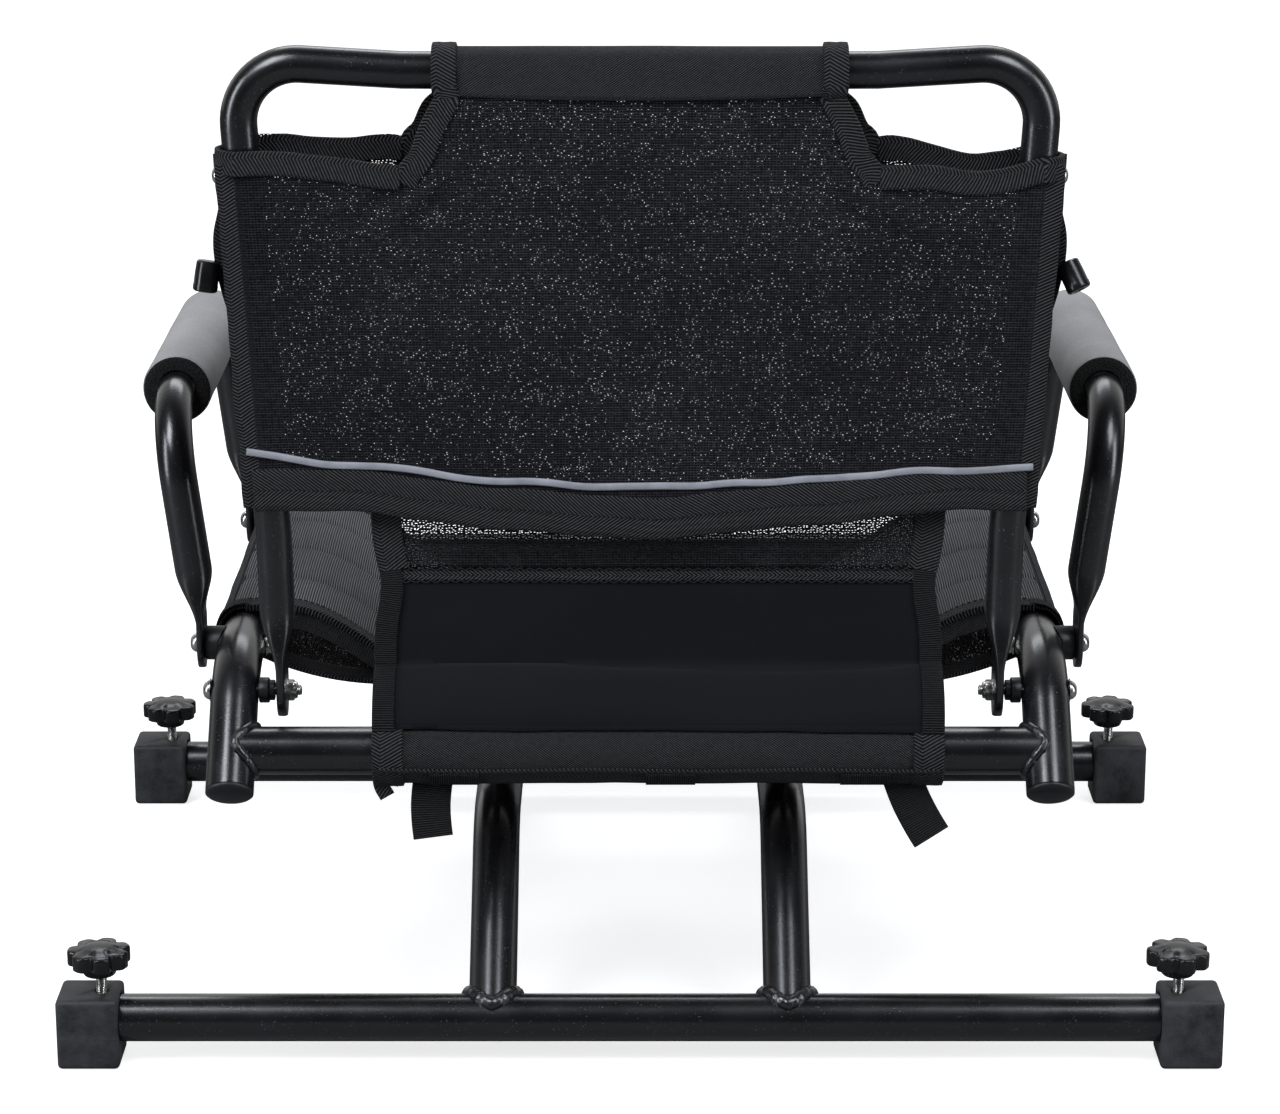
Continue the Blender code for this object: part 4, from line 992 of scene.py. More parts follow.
def flat_foot(point_at, flare, half_thick, half_wide, radius):
    """A tube's flattened foot from its round tip up to the full tube, as (point, half thickness,
    half width). point_at takes a height above the bolt and the share of the flare passed, and
    flare is the height where the flare starts and ends."""
    tip = [radians(angle) for angle in even(86, 0, 10)]
    stations = [(point_at(-half_wide * sin(a), 0), half_thick, half_wide * cos(a)) for a in tip]
    for share in even(0, 1, 12):
        swell = smooth(share)
        stations.append((point_at(flare[0] + (flare[1] - flare[0]) * share, share),
                         half_thick + (radius - half_thick) * swell,
                         half_wide + (radius - half_wide) * swell ** 0.8))
    return stations


def arm_path(side, sign):
    """The armrest tube's points and sections, flattened at both feet."""
    rear, front = middle("arm_bolt_rear_" + side), middle("arm_bolt_front_" + side)
    top = middle("arm_grip_" + side)
    x_low = end_x("arm_saddle_rear_" + side, sign) + sign * (ARM_BLADE_HALF + 0.0003)
    flare = [rear.z + 0.014, rear.z + 0.042]
    lean = (top.x - x_low) / (top.z - flare[0])

    def foot(bolt):
        def point_at(height, share):
            return Vector((x_low + lean * (flare[1] - flare[0]) * share, bolt.y, bolt.z + height))

        stations = flat_foot(point_at, [z - bolt.z for z in flare], ARM_BLADE_HALF,
                             ARM_BLADE_WIDE, ARM_R)
        return [(point, (thin, wide)) for point, thin, wide in stations]

    rear_foot, front_foot = foot(rear), foot(front)
    corners = [rear_foot[-1][0], (top.x, rear.y, top.z), (top.x, front.y, top.z), front_foot[-1][0]]
    bends = [(point, (ARM_R, ARM_R)) for point in filleted(corners, ARM_BEND_R, 14)[1:-1]]
    return rear_foot + bends + front_foot[::-1]


def foam_grip(side):
    """A foam tube: soft rounded ends, a slightly uneven skin and open cells on the end faces."""
    node = "arm_grip_" + side
    low, high, spot = place_of(node)
    radius = (high.x - low.x) / 2
    length = high.y - low.y
    bore, soft = ARM_R + 0.0004, 0.0034
    profile = [(0.004, bore), (0.0004, bore + 0.0006), (0.0, bore + 0.003)]
    profile += [(soft * (1 - cos(a)), radius - soft * (1 - sin(a))) for a in even(0, pi / 2, 5)]
    profile += [(along, radius) for along in even(soft, length - soft, 34)[1:-1]]
    profile += [(length - along, r) for along, r in reversed(profile[:9])]
    rings = []
    for along, r in profile:
        ring = []
        for c, s in circle(64):
            swell = 1 + 0.014 * uneven(along * 30, c * 1.5, s * 1.5) if r > bore * 1.1 else 1
            ring.append((spot.x + c * r * swell, low.y + along, spot.z + s * r * swell))
        rings.append(ring)
    made = piece("sleeve_" + node, skin(rings, closed=True), "foam", "seat", node, 70)
    made.data.materials.append(LOOKS["foam_cut"][0])
    for face in made.data.polygons:
        if min(face.center.y - low.y, high.y - face.center.y) < soft * 0.55:
            face.material_index = 1


def build_arms():
    for side, sign in SIDES.items():
        path = arm_path(side, sign)
        node = "arm_tube_" + side
        shape = swept([p for p, _ in path], [s for _, s in path], X_AXIS, 44)
        piece("tube_" + node, shape, "tube", "seat", node)
        foam_grip(side)
        blade_out = path[11][0].x + sign * (ARM_BLADE_HALF + 0.00005)
        for end in ENDS:
            spot = middle("arm_bolt_" + end + "_" + side)
            washer("washer_arm_" + end + "_" + side, (blade_out, spot.y, spot.z), X_AXIS * sign,
                   0.0060, 0.0004)


def build_back_tube():
    """One bent tube: flattened feet on the pivots, uprights, and a top with a slight dip."""
    foot = flat_foot(lambda height, share: on_back(BACK_BLADE_X + 0.0016 * share, height),
                     (0.014, 0.046), BLADE_HALF, BLADE_WIDE, BACK_R)
    half_path = [(point, (wide, thin)) for point, thin, wide in foot]
    bend = filleted([on_back(BACK_LOW_X, COVER_LOW), on_back(BACK_HIGH_X + 0.0016, BACK_TOP),
                     on_back(0.120, BACK_TOP - BACK_TOP_DIP)], BACK_BEND_R, 16)
    bend.append(on_back(0, BACK_TOP - BACK_TOP_DIP - 0.0005))
    half_path += [(point, (BACK_R, BACK_R)) for point in bend]
    path = half_path + [(Vector((-p.x, p.y, p.z)), size) for p, size in half_path[-2::-1]]
    shape = swept([p for p, _ in path], [s for _, s in path], outward(1), 44)
    piece("tube_back", shape, "tube", "back", "back_tube")


# ---- back cover -----------------------------------------------------------------------------

HOLE_EDGE = [(0.1015, 0.3230), (0.1060, 0.3150), (0.1110, 0.3050), (0.1160, 0.2920),
             (0.1215, 0.2850), (0.1340, 0.2862), (0.1480, 0.2884), (0.1680, 0.2908),
             (0.1850, 0.2925), (0.2180, 0.2925)]
DIP = 4                     # the point of HOLE_EDGE where the slope meets the hand opening


def edge_slack(x):
    """The edge of the right hand opening hangs lower between the dip and the shoulder."""
    if x > 0:
        return 0.0
    return -0.0075 * bell(abs(x), 0.172, 0.026) - 0.0030 * smooth((-x - 0.15) / 0.04)


def front_rise(x, layer):
    """How much higher the front layer's edge stands than the rear layer's inside the opening."""
    if layer <= 0:
        return 0.0
    near = smooth((abs(x) - HOLE_EDGE[0][0]) / 0.012)
    return near * (0.0045 + 0.0065 * bell(abs(x), 0.126, 0.020))


def cover_top(x, layer):
    """Height of a layer's top edge: down the slope from the sleeve, then out to the shoulder."""
    place = min(max(abs(x), HOLE_EDGE[0][0]), HOLE_EDGE[-1][0])
    for (x0, h0), (x1, h1) in zip(HOLE_EDGE, HOLE_EDGE[1:]):
        if x0 <= place <= x1:
            height = h0 + (h1 - h0) * (place - x0) / (x1 - x0)
    return height + edge_slack(x) + front_rise(x, layer)


def cover_bottom(x):
    return COVER_LOW + 0.0155 * smooth(abs(x) / 0.185)


def cover_crease(x, height, layer):
    """Soft folds: slow waves and pulls that run in from the corners."""
    slow = uneven(x * 9, height * 11, 7.3 * layer) * 0.0020
    fine = uneven(x * 30 + height * 26, height * 20, 3.1 * layer) * 0.0008
    corner = bell(abs(x), 0.12, 0.03) * bell(height, 0.27, 0.03)
    pull = 0.0010 * corner * sin((abs(x) * 0.7 + height) * 240 + x * 30)
    ripple = 0.0010 * bell(height, COVER_LOW, 0.03) * sin(x * 70 + 1.3 * layer)
    return slow + fine + pull + ripple


def cover_point(x, height, layer, lift=0.0):
    """A point of a layer, which is drawn in between the uprights and softly creased."""
    free = 1 - (min(abs(x) / upright_x(height), 1)) ** 4
    up = (height - COVER_LOW) / (BACK_TOP - COVER_LOW)
    slack = sin(pi * min(max(up, 0), 1)) ** 0.7 * free
    drawn_in = (0.0035 if layer < 0 else 0.0045) * slack
    crease = cover_crease(x, height, layer) * (0.25 + 0.75 * free)
    return on_back(x, height, layer * COVER_R + drawn_in + crease + layer * lift)


def cover_stations():
    """Stations round the bag: (share of the upright's place, layer, wrap angle or None)."""
    rear = [(share, -1, None) for share in even(1, -1, 110)]
    wrap = even(0, pi, 12)[1:-1]
    front = [(-share, 1, None) for share, _, _ in rear]
    return rear + [(-1, 0, angle) for angle in wrap] + front + [(1, 0, angle) for angle in wrap]


def station_point(station, height):
    share, layer, angle = station
    x = upright_x(height) * share
    if angle is None:
        return cover_point(x, height, layer)
    return on_back(x + sin(angle) * COVER_R * share, height, cos(angle) * COVER_R * share)


def build_cover_bag():
    """The mesh bag round both uprights, open below and cut out for the hands above."""
    stations = cover_stations()
    columns = []
    for station in stations:
        share, layer, angle = station
        top = 0.29
        for _ in range(6):
            top = cover_top(upright_x(top) * share * (1 if angle is None else 1.06), layer)
        columns.append(even(cover_bottom(upright_x(COVER_LOW) * share), top, 64))
    around = travelled([station_point(station, 0.2) for station in stations])
    rows = []
    uv_rows = []
    for heights in zip(*columns):
        rows.append([station_point(*place) for place in zip(stations, heights)])
        uv_rows.append(list(zip(around, heights)))
    made = surface("cover_bag", rows, uv_rows, "mesh", 0.0007, "back", "back_cover", wrap=True)
    made.data.materials.append(LOOKS["front_mesh"][0])
    for face in made.data.polygons:
        if face.center.y < on_back(0, face.center.z - PIVOT.z).y:
            face.material_index = 1


def sleeve_section(x, grow=0.0):
    """Points of the top sleeve's section at x, from the rear hem over the tube to the front."""
    hem = 0.3212 - 0.0028 * (1 - (x / SLEEVE_HALF) ** 2)
    top = BACK_TOP - BACK_TOP_DIP * smooth((BACK_HIGH_X - abs(x)) / (BACK_HIGH_X - 0.11))
    radius = BACK_R + 0.0016 + grow
    straight = [(hem + (top - hem) * share, radius + 0.0006 * (1 - share))
                for share in even(0, 1, 7)[:-1]]
    over = [(top + sin(angle) * (radius + 0.0004), -cos(angle) * radius)
            for angle in even(0, pi, 14)]
    return [(height, -depth) for height, depth in straight] + over + straight[::-1]


def build_top_sleeve():
    """The twill sleeve on the top tube, with its hem seams."""
    rows = []
    places = even(SLEEVE_HALF, -SLEEVE_HALF, 60)
    for x in places:
        row = []
        for height, depth in sleeve_section(x):
            wave = uneven(x * 22, height * 30, depth * 40) * 0.0009
            row.append(on_back(x, height + wave * 0.4, depth + copysign(wave, depth)))
        rows.append(row)
    uv_rows = [[(v, u) for u, v in row] for row in lengthwise(rows, places)]
    surface("cover_sleeve", rows, uv_rows, "sleeve", 0.0011, "back")
    for label, layer in LAYERS.items():
        path = [on_back(x, *sleeve_section(x, 0.0008)[1 if layer < 0 else -2]) for x in places]
        sew("sleeve_" + label, path, outward(layer), "back")


def slope_line(layer, sign):
    """The middle of the binding from below the dip of the hand opening up to the sleeve's end."""
    x, height = HOLE_EDGE[DIP]
    points = [cover_point((x - 0.0020) * sign, height - 0.0095, layer)]
    for x, height in reversed(HOLE_EDGE[:DIP + 1]):
        rise = front_rise(x, layer)
        points.append(cover_point((x - 0.0052) * sign, height + rise - 0.0030, layer))
    section = sleeve_section(SLEEVE_HALF, 0.0012)
    upper = section[2:15] if layer < 0 else section[:-15:-1]
    return points, [on_back((SLEEVE_HALF - 0.0055) * sign, h, d) for h, d in upper]


def hand_line(layer, sign):
    """The middle of the binding from the dip out to the shoulder and round the upright."""
    points = []
    for x, height in HOLE_EDGE[DIP:-1]:
        rise = edge_slack(x * sign) + front_rise(x, layer)
        points.append(cover_point(x * sign, height + rise - WEB_HALF, layer))
    height = HOLE_EDGE[-1][1] - WEB_HALF + edge_slack(HOLE_EDGE[-1][0] * sign)
    r = COVER_R + 0.0011
    for angle in even(0, pi / 2, 6):
        points.append(on_back((upright_x(height) + sin(angle) * r) * sign, height,
                              layer * cos(angle) * r))
    return points


def cover_edge(side, sign, label, layer):
    """Webbing bound over one side's edges of one layer, sewn down near its inner side."""
    place = "_" + label + "_" + side
    out = outward(layer)
    line = hand_line(layer, sign)
    tape("webbing_hand" + place, through(line, 4), Z_AXIS, WEB_HALF, BOUND, "web", "back")
    seam = [p - Z_AXIS * 0.0050 + out * 0.0015 for p in through(line[:6], 4)]
    sew("hand" + place, seam, out, "back")
    lower, upper = slope_line(layer, sign)
    path = through(lower, 5) + upper
    across = [(X_AXIS + Z_AXIS * 0.5 * sign).normalized()] * (len(path) - len(upper) - 3)
    across += [X_AXIS] * (len(upper) + 3)
    tape("webbing_slope" + place, path, across, WEB_HALF, BOUND, "web", "back")
    path = []
    for height in even(0.2855, COVER_LOW + 0.016, 24):
        x = (upright_x(height) + 0.0068) * sign + uneven(height * 40, layer, sign) * 0.0012
        path.append(on_back(x, height, layer * (COVER_R - 0.0012)))
    tape("webbing_side" + place, path, X_AXIS, WEB_HALF, 0.0015, "web", "back")
    seam = [p + X_AXIS * (-0.0055 * sign) + out * 0.0007 for p in path]
    sew("side" + place, seam, out, "back")


def build_cover_edges():
    for side, sign in SIDES.items():
        for label, layer in LAYERS.items():
            cover_edge(side, sign, label, layer)


def build_cover_hem():
    """The wide herringbone hem band and the grey piping above it."""
    band_half, band_end, piping_end = 0.0112, 0.2005, 0.2035
    for label, layer in LAYERS.items():
        line = []
        for x in even(band_end, -band_end, 80):
            wave = 0.0006 * sin(x * 60 + layer) + 0.0004 * sin(x * 141)
            line.append(cover_point(x, cover_bottom(x) + band_half - 0.001 + wave, layer, 0.0006))
        tape("webbing_hem_" + label, line, Z_AXIS, band_half, 0.0015, "wide_web", "back")
        for offset, tag in ((-0.0100, "low"), (0.0004, "middle")):
            seam = [p + Z_AXIS * offset + outward(layer) * 0.0009 for p in line]
            sew("hem_" + tag + "_" + label, seam, outward(layer), "back")
    line = []
    for x in even(piping_end, -piping_end, 60):
        share = x / piping_end
        sag = 0.1150 + (0.0165 + 0.0035 * share) * abs(share) ** 1.3
        line.append(cover_point(x, sag + 0.0026 * uneven(x * 34, 1.7, 0.3), -1, 0.0009))
    shape = swept(through(line, 3), (0.0019, 0.0011), Z_AXIS, 14)
    piece("piping_rear", shape, "piping", "back", angle=80)


def cover_screw(side, sign):
    """A domed screw that holds the cover's shoulder to the upright."""
    node = "cover_screw_" + side
    low, high, spot = place_of(node)
    head_r, head, shank_r = (high.z - low.z) / 2, 0.0030, 0.002
    dome = [(1, 0), (0.97, 0.3), (0.85, 0.6), (0.6, 0.85), (0.25, 0.98), (0, 1)]
    profile = scaled(dome, head, head_r) + [(0, shank_r), (-0.009, shank_r), (-0.009, 0)]
    under = (end_x(node, sign) - sign * head, spot.y, spot.z)
    shape = turned(profile, under, X_AXIS * sign, 32)
    piece("domed_" + node, shape, "steel", "back", node)


def side_strap(side, sign):
    """Flat webbing that hangs from the shoulder screw, behind the edge, down past the toggle."""
    top = middle("cover_screw_" + side).z - PIVOT.z + 0.010
    foot = middle("side_toggle_" + side).z - PIVOT.z - 0.024
    outline = [(0.0, 0.0004), (0.20, 0.0006), (0.30, -0.0006), (0.38, 0.0012), (0.50, 0.0040),
               (0.64, 0.0044), (0.80, 0.0026), (0.92, 0.0004), (1.0, -0.0008)]
    points = []
    for share, stand in outline:
        height = top + (foot - top) * share
        points.append(on_back((upright_x(height) + 0.0062 + stand) * sign, height, 0.0102))
    path = through(points, 6)
    across = Vector((0.9 * sign, 0.43, 0))
    tape("side_strap_" + side, path, across, 0.0095, 0.0014, "web", "back")
    normal = across.cross(Z_AXIS).normalized()
    normal *= copysign(1, normal.y)
    for shift, label in ((-0.0065, "inner_"), (0.0065, "outer_")):
        line = [p + across * shift + normal * 0.0008 for p in path[8:15]]
        sew("strap_" + label + side, line, normal, "back")


TOGGLE_AXES = {"left": (0.15, 0.12, -1.0), "right": (-0.42, 0.35, -0.85)}


def side_toggle(side):
    """A glossy barrel toggle with a lipped end and a cord hole."""
    node = "side_toggle_" + side
    radius, reach = 0.0063, 0.008
    outline = [(-1, 0), (-1, 0.82), (-0.9, 0.97), (-0.2, 1), (0.55, 1), (0.62, 1.03), (0.9, 1),
               (1, 0.86), (0.99, 0.5), (0.8, 0.36), (0.4, 0.34), (0.4, 0)]
    shape = turned(scaled(outline, reach, radius), middle(node),
                   Vector(TOGGLE_AXES[side]).normalized(), 36)
    piece("barrel_" + node, shape, "knob", "back", node)


def build_cover_sides():
    for side, sign in SIDES.items():
        cover_screw(side, sign)
        side_strap(side, sign)
        side_toggle(side)


# ---- lower panel ----------------------------------------------------------------------------

# each zone of the panel: its cloth, and the tape along its sides as (look, inset, half width)
ZONES = {"mesh": ("strip_mesh", "web", 0.0072, 0.0080),
         "cloth": ("panel", "plain_web", 0.0056, 0.0060),
         "sleeve": ("sleeve", "web", 0.0078, 0.0082)}


def panel_line(steps=26):
    """Side view of the panel: (y, z, zone) from inside the cover down and round the tube."""
    cross = middle("rear_cross_tube").yz
    wrap_r = TUBE_R + 0.0018
    top, bend = on_back(0, COVER_LOW + 0.012).yz, on_back(0, 0.016, -0.0040).yz
    shares = even(0, 1, steps)[:-1]
    points = [(top.lerp(bend, share), "mesh" if share < 0.36 else "cloth") for share in shares]
    start = radians(74)
    meet = cross + Vector((cos(start) * wrap_r + 0.0028, sin(start) * wrap_r + 0.001))
    for share in shares:
        bulge = 0.0030 * sin(pi * share)
        points.append((bend.lerp(meet, share) + Vector((bulge, 0)), "cloth"))
    for angle in even(start, start - radians(310), 30):
        sag = 0.0022 * max(0.0, -sin(angle)) ** 2
        round_tube = Vector((cos(angle) * wrap_r, sin(angle) * wrap_r - sag))
        points.append((cross + round_tube, "sleeve"))
    return points


class Panel:
    """The lower panel's surface: a side view, two waisted edges and the folds between them."""

    def __init__(self):
        self.low, self.high, _ = place_of("lower_panel")
        self.line = panel_line()
        self.lengths = travelled([Vector((0, *p)) for p, _ in self.line])
        self.tube_top = middle("rear_cross_tube") + Z_AXIS * TUBE_R
        self.cover_end = on_back(0, COVER_LOW + 0.004)
        self.waist_z = on_back(0, 0.060).z
        self.fold_z = self.tube_top.z + 0.0270

    def edges(self, index):
        """Where the panel's right and left edges are at this row."""
        waist = 0.0042 * bell(self.line[index][0].y, self.waist_z, 0.019)
        return self.low.x + waist, self.high.x - waist

    def point(self, x, index, lift=0.0):
        """A point of the cloth at a row of the side view, with its folds and the rolled one."""
        spot, zone = self.line[index]
        fold = uneven(x * 14, spot.y * 20, 0.4) * 0.0022
        fold += uneven(x * 40, spot.y * 60, 2.4) * 0.0006
        roll = (self.fold_z + 0.0015 * sin(x * 21) - spot.y) / (self.fold_z - self.tube_top.z)
        if zone == "cloth" and 0 < roll < 1:
            fold += 0.0062 * sin(pi * roll) ** 0.6 * (0.85 + 0.15 * sin(x * 31))
        before = self.line[max(index - 1, 0)][0]
        after = self.line[min(index + 1, len(self.line) - 1)][0]
        direction = (after - before).normalized()
        proud = fold * (0.3 if zone == "sleeve" else 1) + lift
        return Vector((x, spot.x - direction.y * proud, spot.y + direction.x * proud))

    def hang(self, made, zone):
        """The sleeve stays on its tube; the rest keeps its place in the world and hangs on no body."""
        if zone == "sleeve":
            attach(made, "seat")
        else:
            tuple(self.tube_top)
            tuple(self.cover_end)
            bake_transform(made)

    def build_zone(self, zone, rows):
        look, tape_look, inset, half_width = ZONES[zone]
        across = [even(self.edges(row)[1], self.edges(row)[0], 90) for row in rows]
        places = [[self.point(x, row) for x in xs] for xs, row in zip(across, rows)]
        uv_rows = [[(x, self.lengths[row]) for x in xs] for xs, row in zip(across, rows)]
        node = "lower_panel" if zone == "cloth" else None
        self.hang(surface("panel_" + zone, places, uv_rows, look, 0.0012, node=node), zone)
        for side, sign in SIDES.items():
            path = [self.point(self.edges(row)[sign > 0] - sign * inset, row, 0.0009)
                    for row in rows]
            shape = ribbon(path, X_AXIS, half_width, 0.0024, self.lengths[rows[0]])
            label = zone + "_" + side
            self.hang(piece("panel_tape_" + label, shape, tape_look, angle=60), zone)
            normals = [direction.cross(X_AXIS).normalized() for direction in directions(path)]
            normals = [n if n.y > 0 or n.z < 0 else -n for n in normals]
            seam = [p - X_AXIS * (0.0044 * sign) + n * 0.0012 for p, n in zip(path, normals)]
            self.hang(sew("panel_" + label, seam, normals, None), zone)


def build_lower_panel():
    panel = Panel()
    zones = [zone for _, zone in panel.line]
    for zone in ZONES:
        rows = [row for row, kind in enumerate(zones) if kind == zone]
        if zone != "sleeve":
            rows.append(rows[-1] + 1)
        panel.build_zone(zone, rows)
    xs = even(panel.high.x - 0.012, panel.low.x + 0.012, 90)
    cloth_start = zones.index("cloth")
    for step, label in ((0, "upper"), (2, "lower")):
        path = [panel.point(x, cloth_start + step, 0.0012) for x in xs]
        shape = stitches(path, Y_AXIS, 0.0026, 0.0034, 0.0004, 0.0014)
        panel.hang(piece("stitching_panel_seam_" + label, shape, "thread"), "cloth")
    band = [panel.point(x, cloth_start + 1, 0.0007) for x in xs]
    panel.hang(tape("panel_seam_band", band, Z_AXIS, 0.0026, 0.0013, "wide_web", None), "cloth")


def build_hanging_straps():
    """The two loose webbing ends under the panel."""
    for side in SIDES:
        node = "hanging_strap_" + side
        low, high, spot = place_of(node)
        points = []
        for share in even(0, 1, 6):
            y = low.y + (high.y - low.y) * smooth(share) + 0.0008 * sin(share * 7)
            z = high.z + 0.002 + (low.z - high.z - 0.002) * share
            lean = 0.006 - 0.016 * share if side == "right" else 0.0
            points.append((spot.x + lean + 0.0015 * sin(share * 3), y, z))
        tape("webbing_" + node, through(points, 4), X_AXIS, (high.x - low.x) / 2, 0.0014,
             "plain_web", "seat", node)


def build_panel_hem():
    """The hem under the tube, the sewn patches that hold the straps, and a loose binding end."""
    low, high, _ = place_of("lower_panel")
    cross = middle("rear_cross_tube")
    angle = radians(-38)
    along = Vector((0, -sin(angle), cos(angle)))
    out = Vector((0, cos(angle), sin(angle)))
    spot = Vector((0, cross.y, cross.z)) + out * (TUBE_R + 0.0032)
    hem = [spot + X_AXIS * x + along * (0.0006 * sin(x * 55))
           for x in even(high.x - 0.002, low.x + 0.002, 60)]
    tape("panel_hem", hem, along, 0.0064, 0.0012, "wide_web", "seat")
    sew("panel_hem", [point + along * 0.0052 + out * 0.0009 for point in hem], out, "seat")
    for label, x in (("left", 0.0975), ("middle", -0.0160), ("right", -0.1180)):
        path = [spot + X_AXIS * (x + 0.0130 * t) + out * 0.0011 - along * 0.0012
                for t in (-1, 0, 1)]
        tape("sewn_patch_" + label, path, along, 0.0052, 0.0012, "plain_web", "seat")
    tail = [Vector((high.x - inset, cross.y + forward, cross.z - drop)) for inset, forward, drop
            in ((0.003, 0.003, 0.012), (0.004, 0.005, 0.018), (0.007, 0.006, 0.0235))]
    tape("binding_tail", through(tail, 5), X_AXIS, 0.0042, 0.0014, "web", "seat")


# ---- seat -----------------------------------------------------------------------------------

SEAT_SAG, SEAT_CLOTH = 0.0535, 0.0022
SEAT_FALL = 0.110           # the sling falls over this width inside each rail
SEAM_FROM_AXIS = 0.0063     # the sleeve seam stands this far outside the rail's axis
QUILT_SEAMS = (0.24, 0.5, 0.76)
SLING_WRAP = TUBE_R + 0.0009 + SEAT_CLOTH / 2
SLING_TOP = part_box("seat_rail_left")[1].z + SLING_WRAP - TUBE_R
RAIL_X = middle("seat_rail_left").x
SLING_SPAN = RAIL_X - TUBE_R * 1.6


def round_rail(sign, angle, grow=0.0):
    """Side place and height of a point of the cloth round a rail, at an angle from straight up."""
    radius = SLING_WRAP + grow
    return sign * (RAIL_X + sin(angle) * radius), SLING_TOP - SLING_WRAP + cos(angle) * radius


def sling_height(x):
    """Height of the sling's middle at a place between the rails."""
    return SLING_TOP - SEAT_SAG * smooth((SLING_SPAN - abs(x)) / SEAT_FALL)


def seat_line():
    """The seat's section from the left rail to the right: (x, z) of the cloth's middle."""
    edge = [round_rail(1, angle) for angle in even(asin(SEAM_FROM_AXIS / SLING_WRAP), 0, 6)]
    sling = [(x, sling_height(x)) for x in even(SLING_SPAN, -SLING_SPAN, 72)]
    return edge + sling + [(-x, z) for x, z in reversed(edge)]


def seat_surface(x, z, y, low_y, high_y):
    """A point of the seat's top with its quilting, edge lift and slow unevenness."""
    across = 1 - min(abs(x) / 0.2, 1)
    depth = (y - low_y) / (high_y - low_y)
    quilt = sum(bell(depth * (high_y - low_y), seam * (high_y - low_y), 0.0022)
                for seam in QUILT_SEAMS)
    puff = 0.0016 * abs(sin(pi * depth / 0.26 + 0.2)) * (0.3 + 0.7 * min(across * 4, 1))
    slow = uneven(x * 12, y * 14, 5.5) * 0.0030 * min(across * 3, 1)
    return Vector((x, y, z + puff + slow * smooth(depth * 5) - 0.0016 * min(quilt, 1)))


def build_seat():
    low, high, _ = place_of("seat_cover")
    line = seat_line()
    lengths = travelled([Vector((x, 0, z)) for x, z in line])
    rows = []
    uv_rows = []
    for y in even(high.y, low.y, 84):
        rows.append([seat_surface(x, z, y, low.y, high.y) for x, z in line])
        uv_rows.append([(length, y) for length in lengths])
    surface("seat_sling", rows, uv_rows, "seat", SEAT_CLOTH, "seat", "seat_cover")
    build_seat_edges(line, low, high)
    build_under_layer(low, high)
    for side, sign in SIDES.items():
        build_seat_sleeve(side, sign, low, high)


def build_seat_edges(line, low, high):
    """Twill bindings over the front and rear edges, and thread along the quilt seams."""
    for y, label, sign in ((high.y, "rear", 1), (low.y, "front", -1)):
        path = [seat_surface(x, z, y, low.y, high.y) + Vector((0, -0.0040 * sign, -0.0002))
                for x, z in line[6:-6]]
        tape("seat_binding_" + label, path, Y_AXIS, WEB_HALF, 0.0036, "web", "seat")
        sew("seat_" + label, [p + Vector((0, -0.0050 * sign, 0.0022)) for p in path], Z_AXIS, "seat")
    hem = [Vector((x, high.y - 0.0012, z - 0.0062)) for x, z in line[8:-8]]
    tape("seat_hem_rear", hem, Z_AXIS, 0.0060, 0.0018, "seat_edge", "seat")
    for n, share in enumerate(QUILT_SEAMS):
        y = low.y + (high.y - low.y) * share
        path = [seat_surface(x, z, y, low.y, high.y) + Z_AXIS * 0.0013 for x, z in line[5:-5]]
        sew("quilt_" + str(n), path, Z_AXIS, "seat")


def build_under_layer(low, high):
    """The darker open mesh that hangs a little below the seat from rail to rail."""
    span = RAIL_X - TUBE_R * 0.62
    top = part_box("seat_rail_left")[1].z - TUBE_R * 1.9
    centre = top - 0.0165
    rows = []
    places = even(high.y + 0.002, low.y - 0.002, 40)
    for y in places:
        row = []
        for share in even(1, -1, 60):
            z = centre + (top - centre) * max(0, (abs(share) - 0.66) / 0.34) ** 2
            z = min(z, sling_height(span * share) - 0.0032)
            z += uneven(share * 3, y * 15, 9.1) * 0.0012
            row.append(Vector((span * share, y, z)))
        rows.append(row)
    uv_rows = lengthwise(rows, places)
    surface("seat_under_layer", rows, uv_rows, "under_mesh", 0.0009, "seat")
    for row, label, inward in ((rows[0], "rear", -1), (rows[-1], "front", 1)):
        path = [p + Y_AXIS * (0.0094 * inward) for p in row]
        tape("under_binding_" + label, path, Y_AXIS, 0.0100, 0.0024, "web", "seat")


def build_seat_sleeve(side, sign, low, high):
    """The finer cloth that goes round the outside of each rail, with its seam and end tapes."""
    first = asin(SEAM_FROM_AXIS / SLING_WRAP) - 0.06

    def rail_point(y, angle, grow):
        x, z = round_rail(sign, angle, grow)
        return Vector((x, y, z))

    rows = []
    places = even(high.y + 0.001, low.y - 0.001, 60)
    for y in places:
        row = []
        for angle in even(first, first + radians(196), 26):
            loose = 0.0007 * uneven(y * 40, angle * 2, 1.2 + sign)
            row.append(rail_point(y, angle, 0.0003 + max(loose, -0.0002)))
        rows.append(row)
    surface("seat_sleeve_" + side, rows, lengthwise(rows, places), "seat_edge", 0.0014, "seat")
    seam = [rail_point(y, first + 0.10, 0.0018) for y in even(high.y - 0.004, low.y + 0.004, 60)]
    sew("sleeve_" + side, seam, Z_AXIS, "seat")
    for y, label in ((high.y - 0.0042, "rear"), (low.y + 0.0042, "front")):
        path = [rail_point(y, angle, 0.0014)
                for angle in even(first - 0.5, first - 0.5 + radians(222), 26)]
        tape("sleeve_binding_" + label + "_" + side, path, Y_AXIS, 0.0052, 0.0018, "plain_web",
             "seat")


# ---- stage ----------------------------------------------------------------------------------

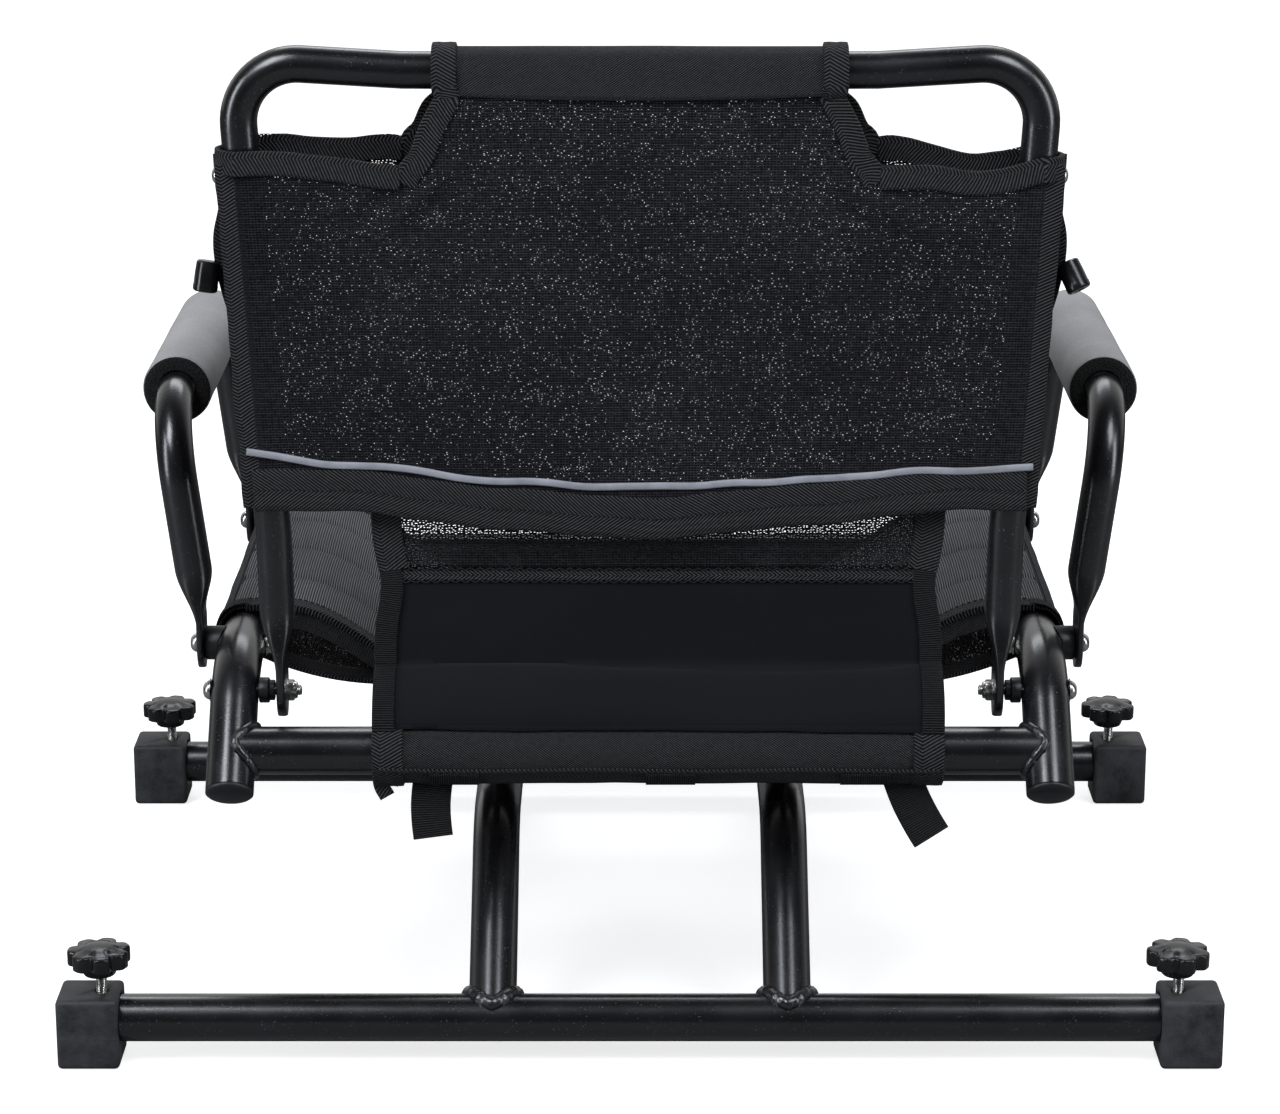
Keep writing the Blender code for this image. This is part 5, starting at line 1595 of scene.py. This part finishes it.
CAMERA_PITCH = radians(16.2)
CAMERA_PLACE = Vector((0.0, 2.0485, 0.814))
CAMERA_LENS = 105.2
SKY_DIM, SKY_BEHIND, SKY_DIFFUSE = 0.03, 0.75, 0.12
LIGHT_TINT = (0.90, 0.94, 1.0)
LIGHTS = {"key_left": ((1.05, 1.25, 1.95), (0.8, 1.0), 24),
          "key_right": ((-1.05, 1.25, 1.95), (0.8, 1.0), 17),
          "side_left": ((2.0, 1.1, 0.75), (0.5, 1.5), 16),
          "side_right": ((-2.0, 1.1, 0.75), (0.5, 1.5), 14),
          "rear_top": ((0.0, -1.4, 1.9), (1.6, 0.6), 10)}


def build_floor():
    rings = [[(c * radius, s * radius, 0) for c, s in circle(64)]
             for radius in (0.01, 0.5, 1.5, 4.0, 14.0)]
    shape = skin(rings)
    shape.faces.new(shape.verts[:64])
    made = add_object("floor", mesh_of("floor", shape, floor_paper()))
    made.location.z = -0.0004


def build_world():
    """White for the camera and, in reflections, behind the seat; dim everywhere else."""
    world = bpy.data.worlds.new("studio")
    world.use_nodes = True
    bpy.context.scene.world = world
    sky = Tree(world.node_tree)
    background = sky.tree.nodes["Background"]
    rays = sky.add("LightPath", out=None)
    direction = sky.add("SeparateXYZ", {0: sky.add("TexCoord", out="Generated")}, out=None)
    behind = sky.span(direction[1], -0.15, -0.75, SKY_DIM, SKY_BEHIND)
    other = sky.times(SKY_DIFFUSE, sky.math("SUBTRACT", 1.0, rays["Is Glossy Ray"]))
    glossy = sky.math("MULTIPLY_ADD", behind, rays["Is Glossy Ray"], other)
    level = sky.math("MAXIMUM", rays["Is Camera Ray"], glossy)
    sky.feed(background.inputs["Strength"], level)
    background.inputs["Color"].default_value = (1, 1, 1, 1)


def build_lights():
    target = Vector((0, 0, 0.25))
    for name, (place, size, power) in LIGHTS.items():
        light = bpy.data.lights.new(name, "AREA")
        light.shape = "RECTANGLE"
        light.size, light.size_y = size
        light.energy = power
        light.color = LIGHT_TINT
        made = add_object(name, light)
        made.location = place
        made.rotation_euler = (target - Vector(place)).to_track_quat("-Z", "Y").to_euler()


def build_camera():
    camera = bpy.data.cameras.new("camera")
    camera.lens = CAMERA_LENS
    camera.sensor_width = 36.0
    made = add_object("camera", camera)
    made.location = CAMERA_PLACE
    made.rotation_euler = (pi / 2 - CAMERA_PITCH, 0, pi)
    bpy.context.scene.camera = made
    bpy.context.scene.view_settings.view_transform = "Standard"


# ---- build ----------------------------------------------------------------------------------

build_base()
build_swivel()
build_feet()
build_seat_frame()
build_fasteners()
build_arms()
build_back_tube()
build_cover_bag()
build_top_sleeve()
build_cover_edges()
build_cover_hem()
build_cover_sides()
build_lower_panel()
build_hanging_straps()
build_panel_hem()
build_seat()
build_floor()
build_world()
build_lights()
build_camera()
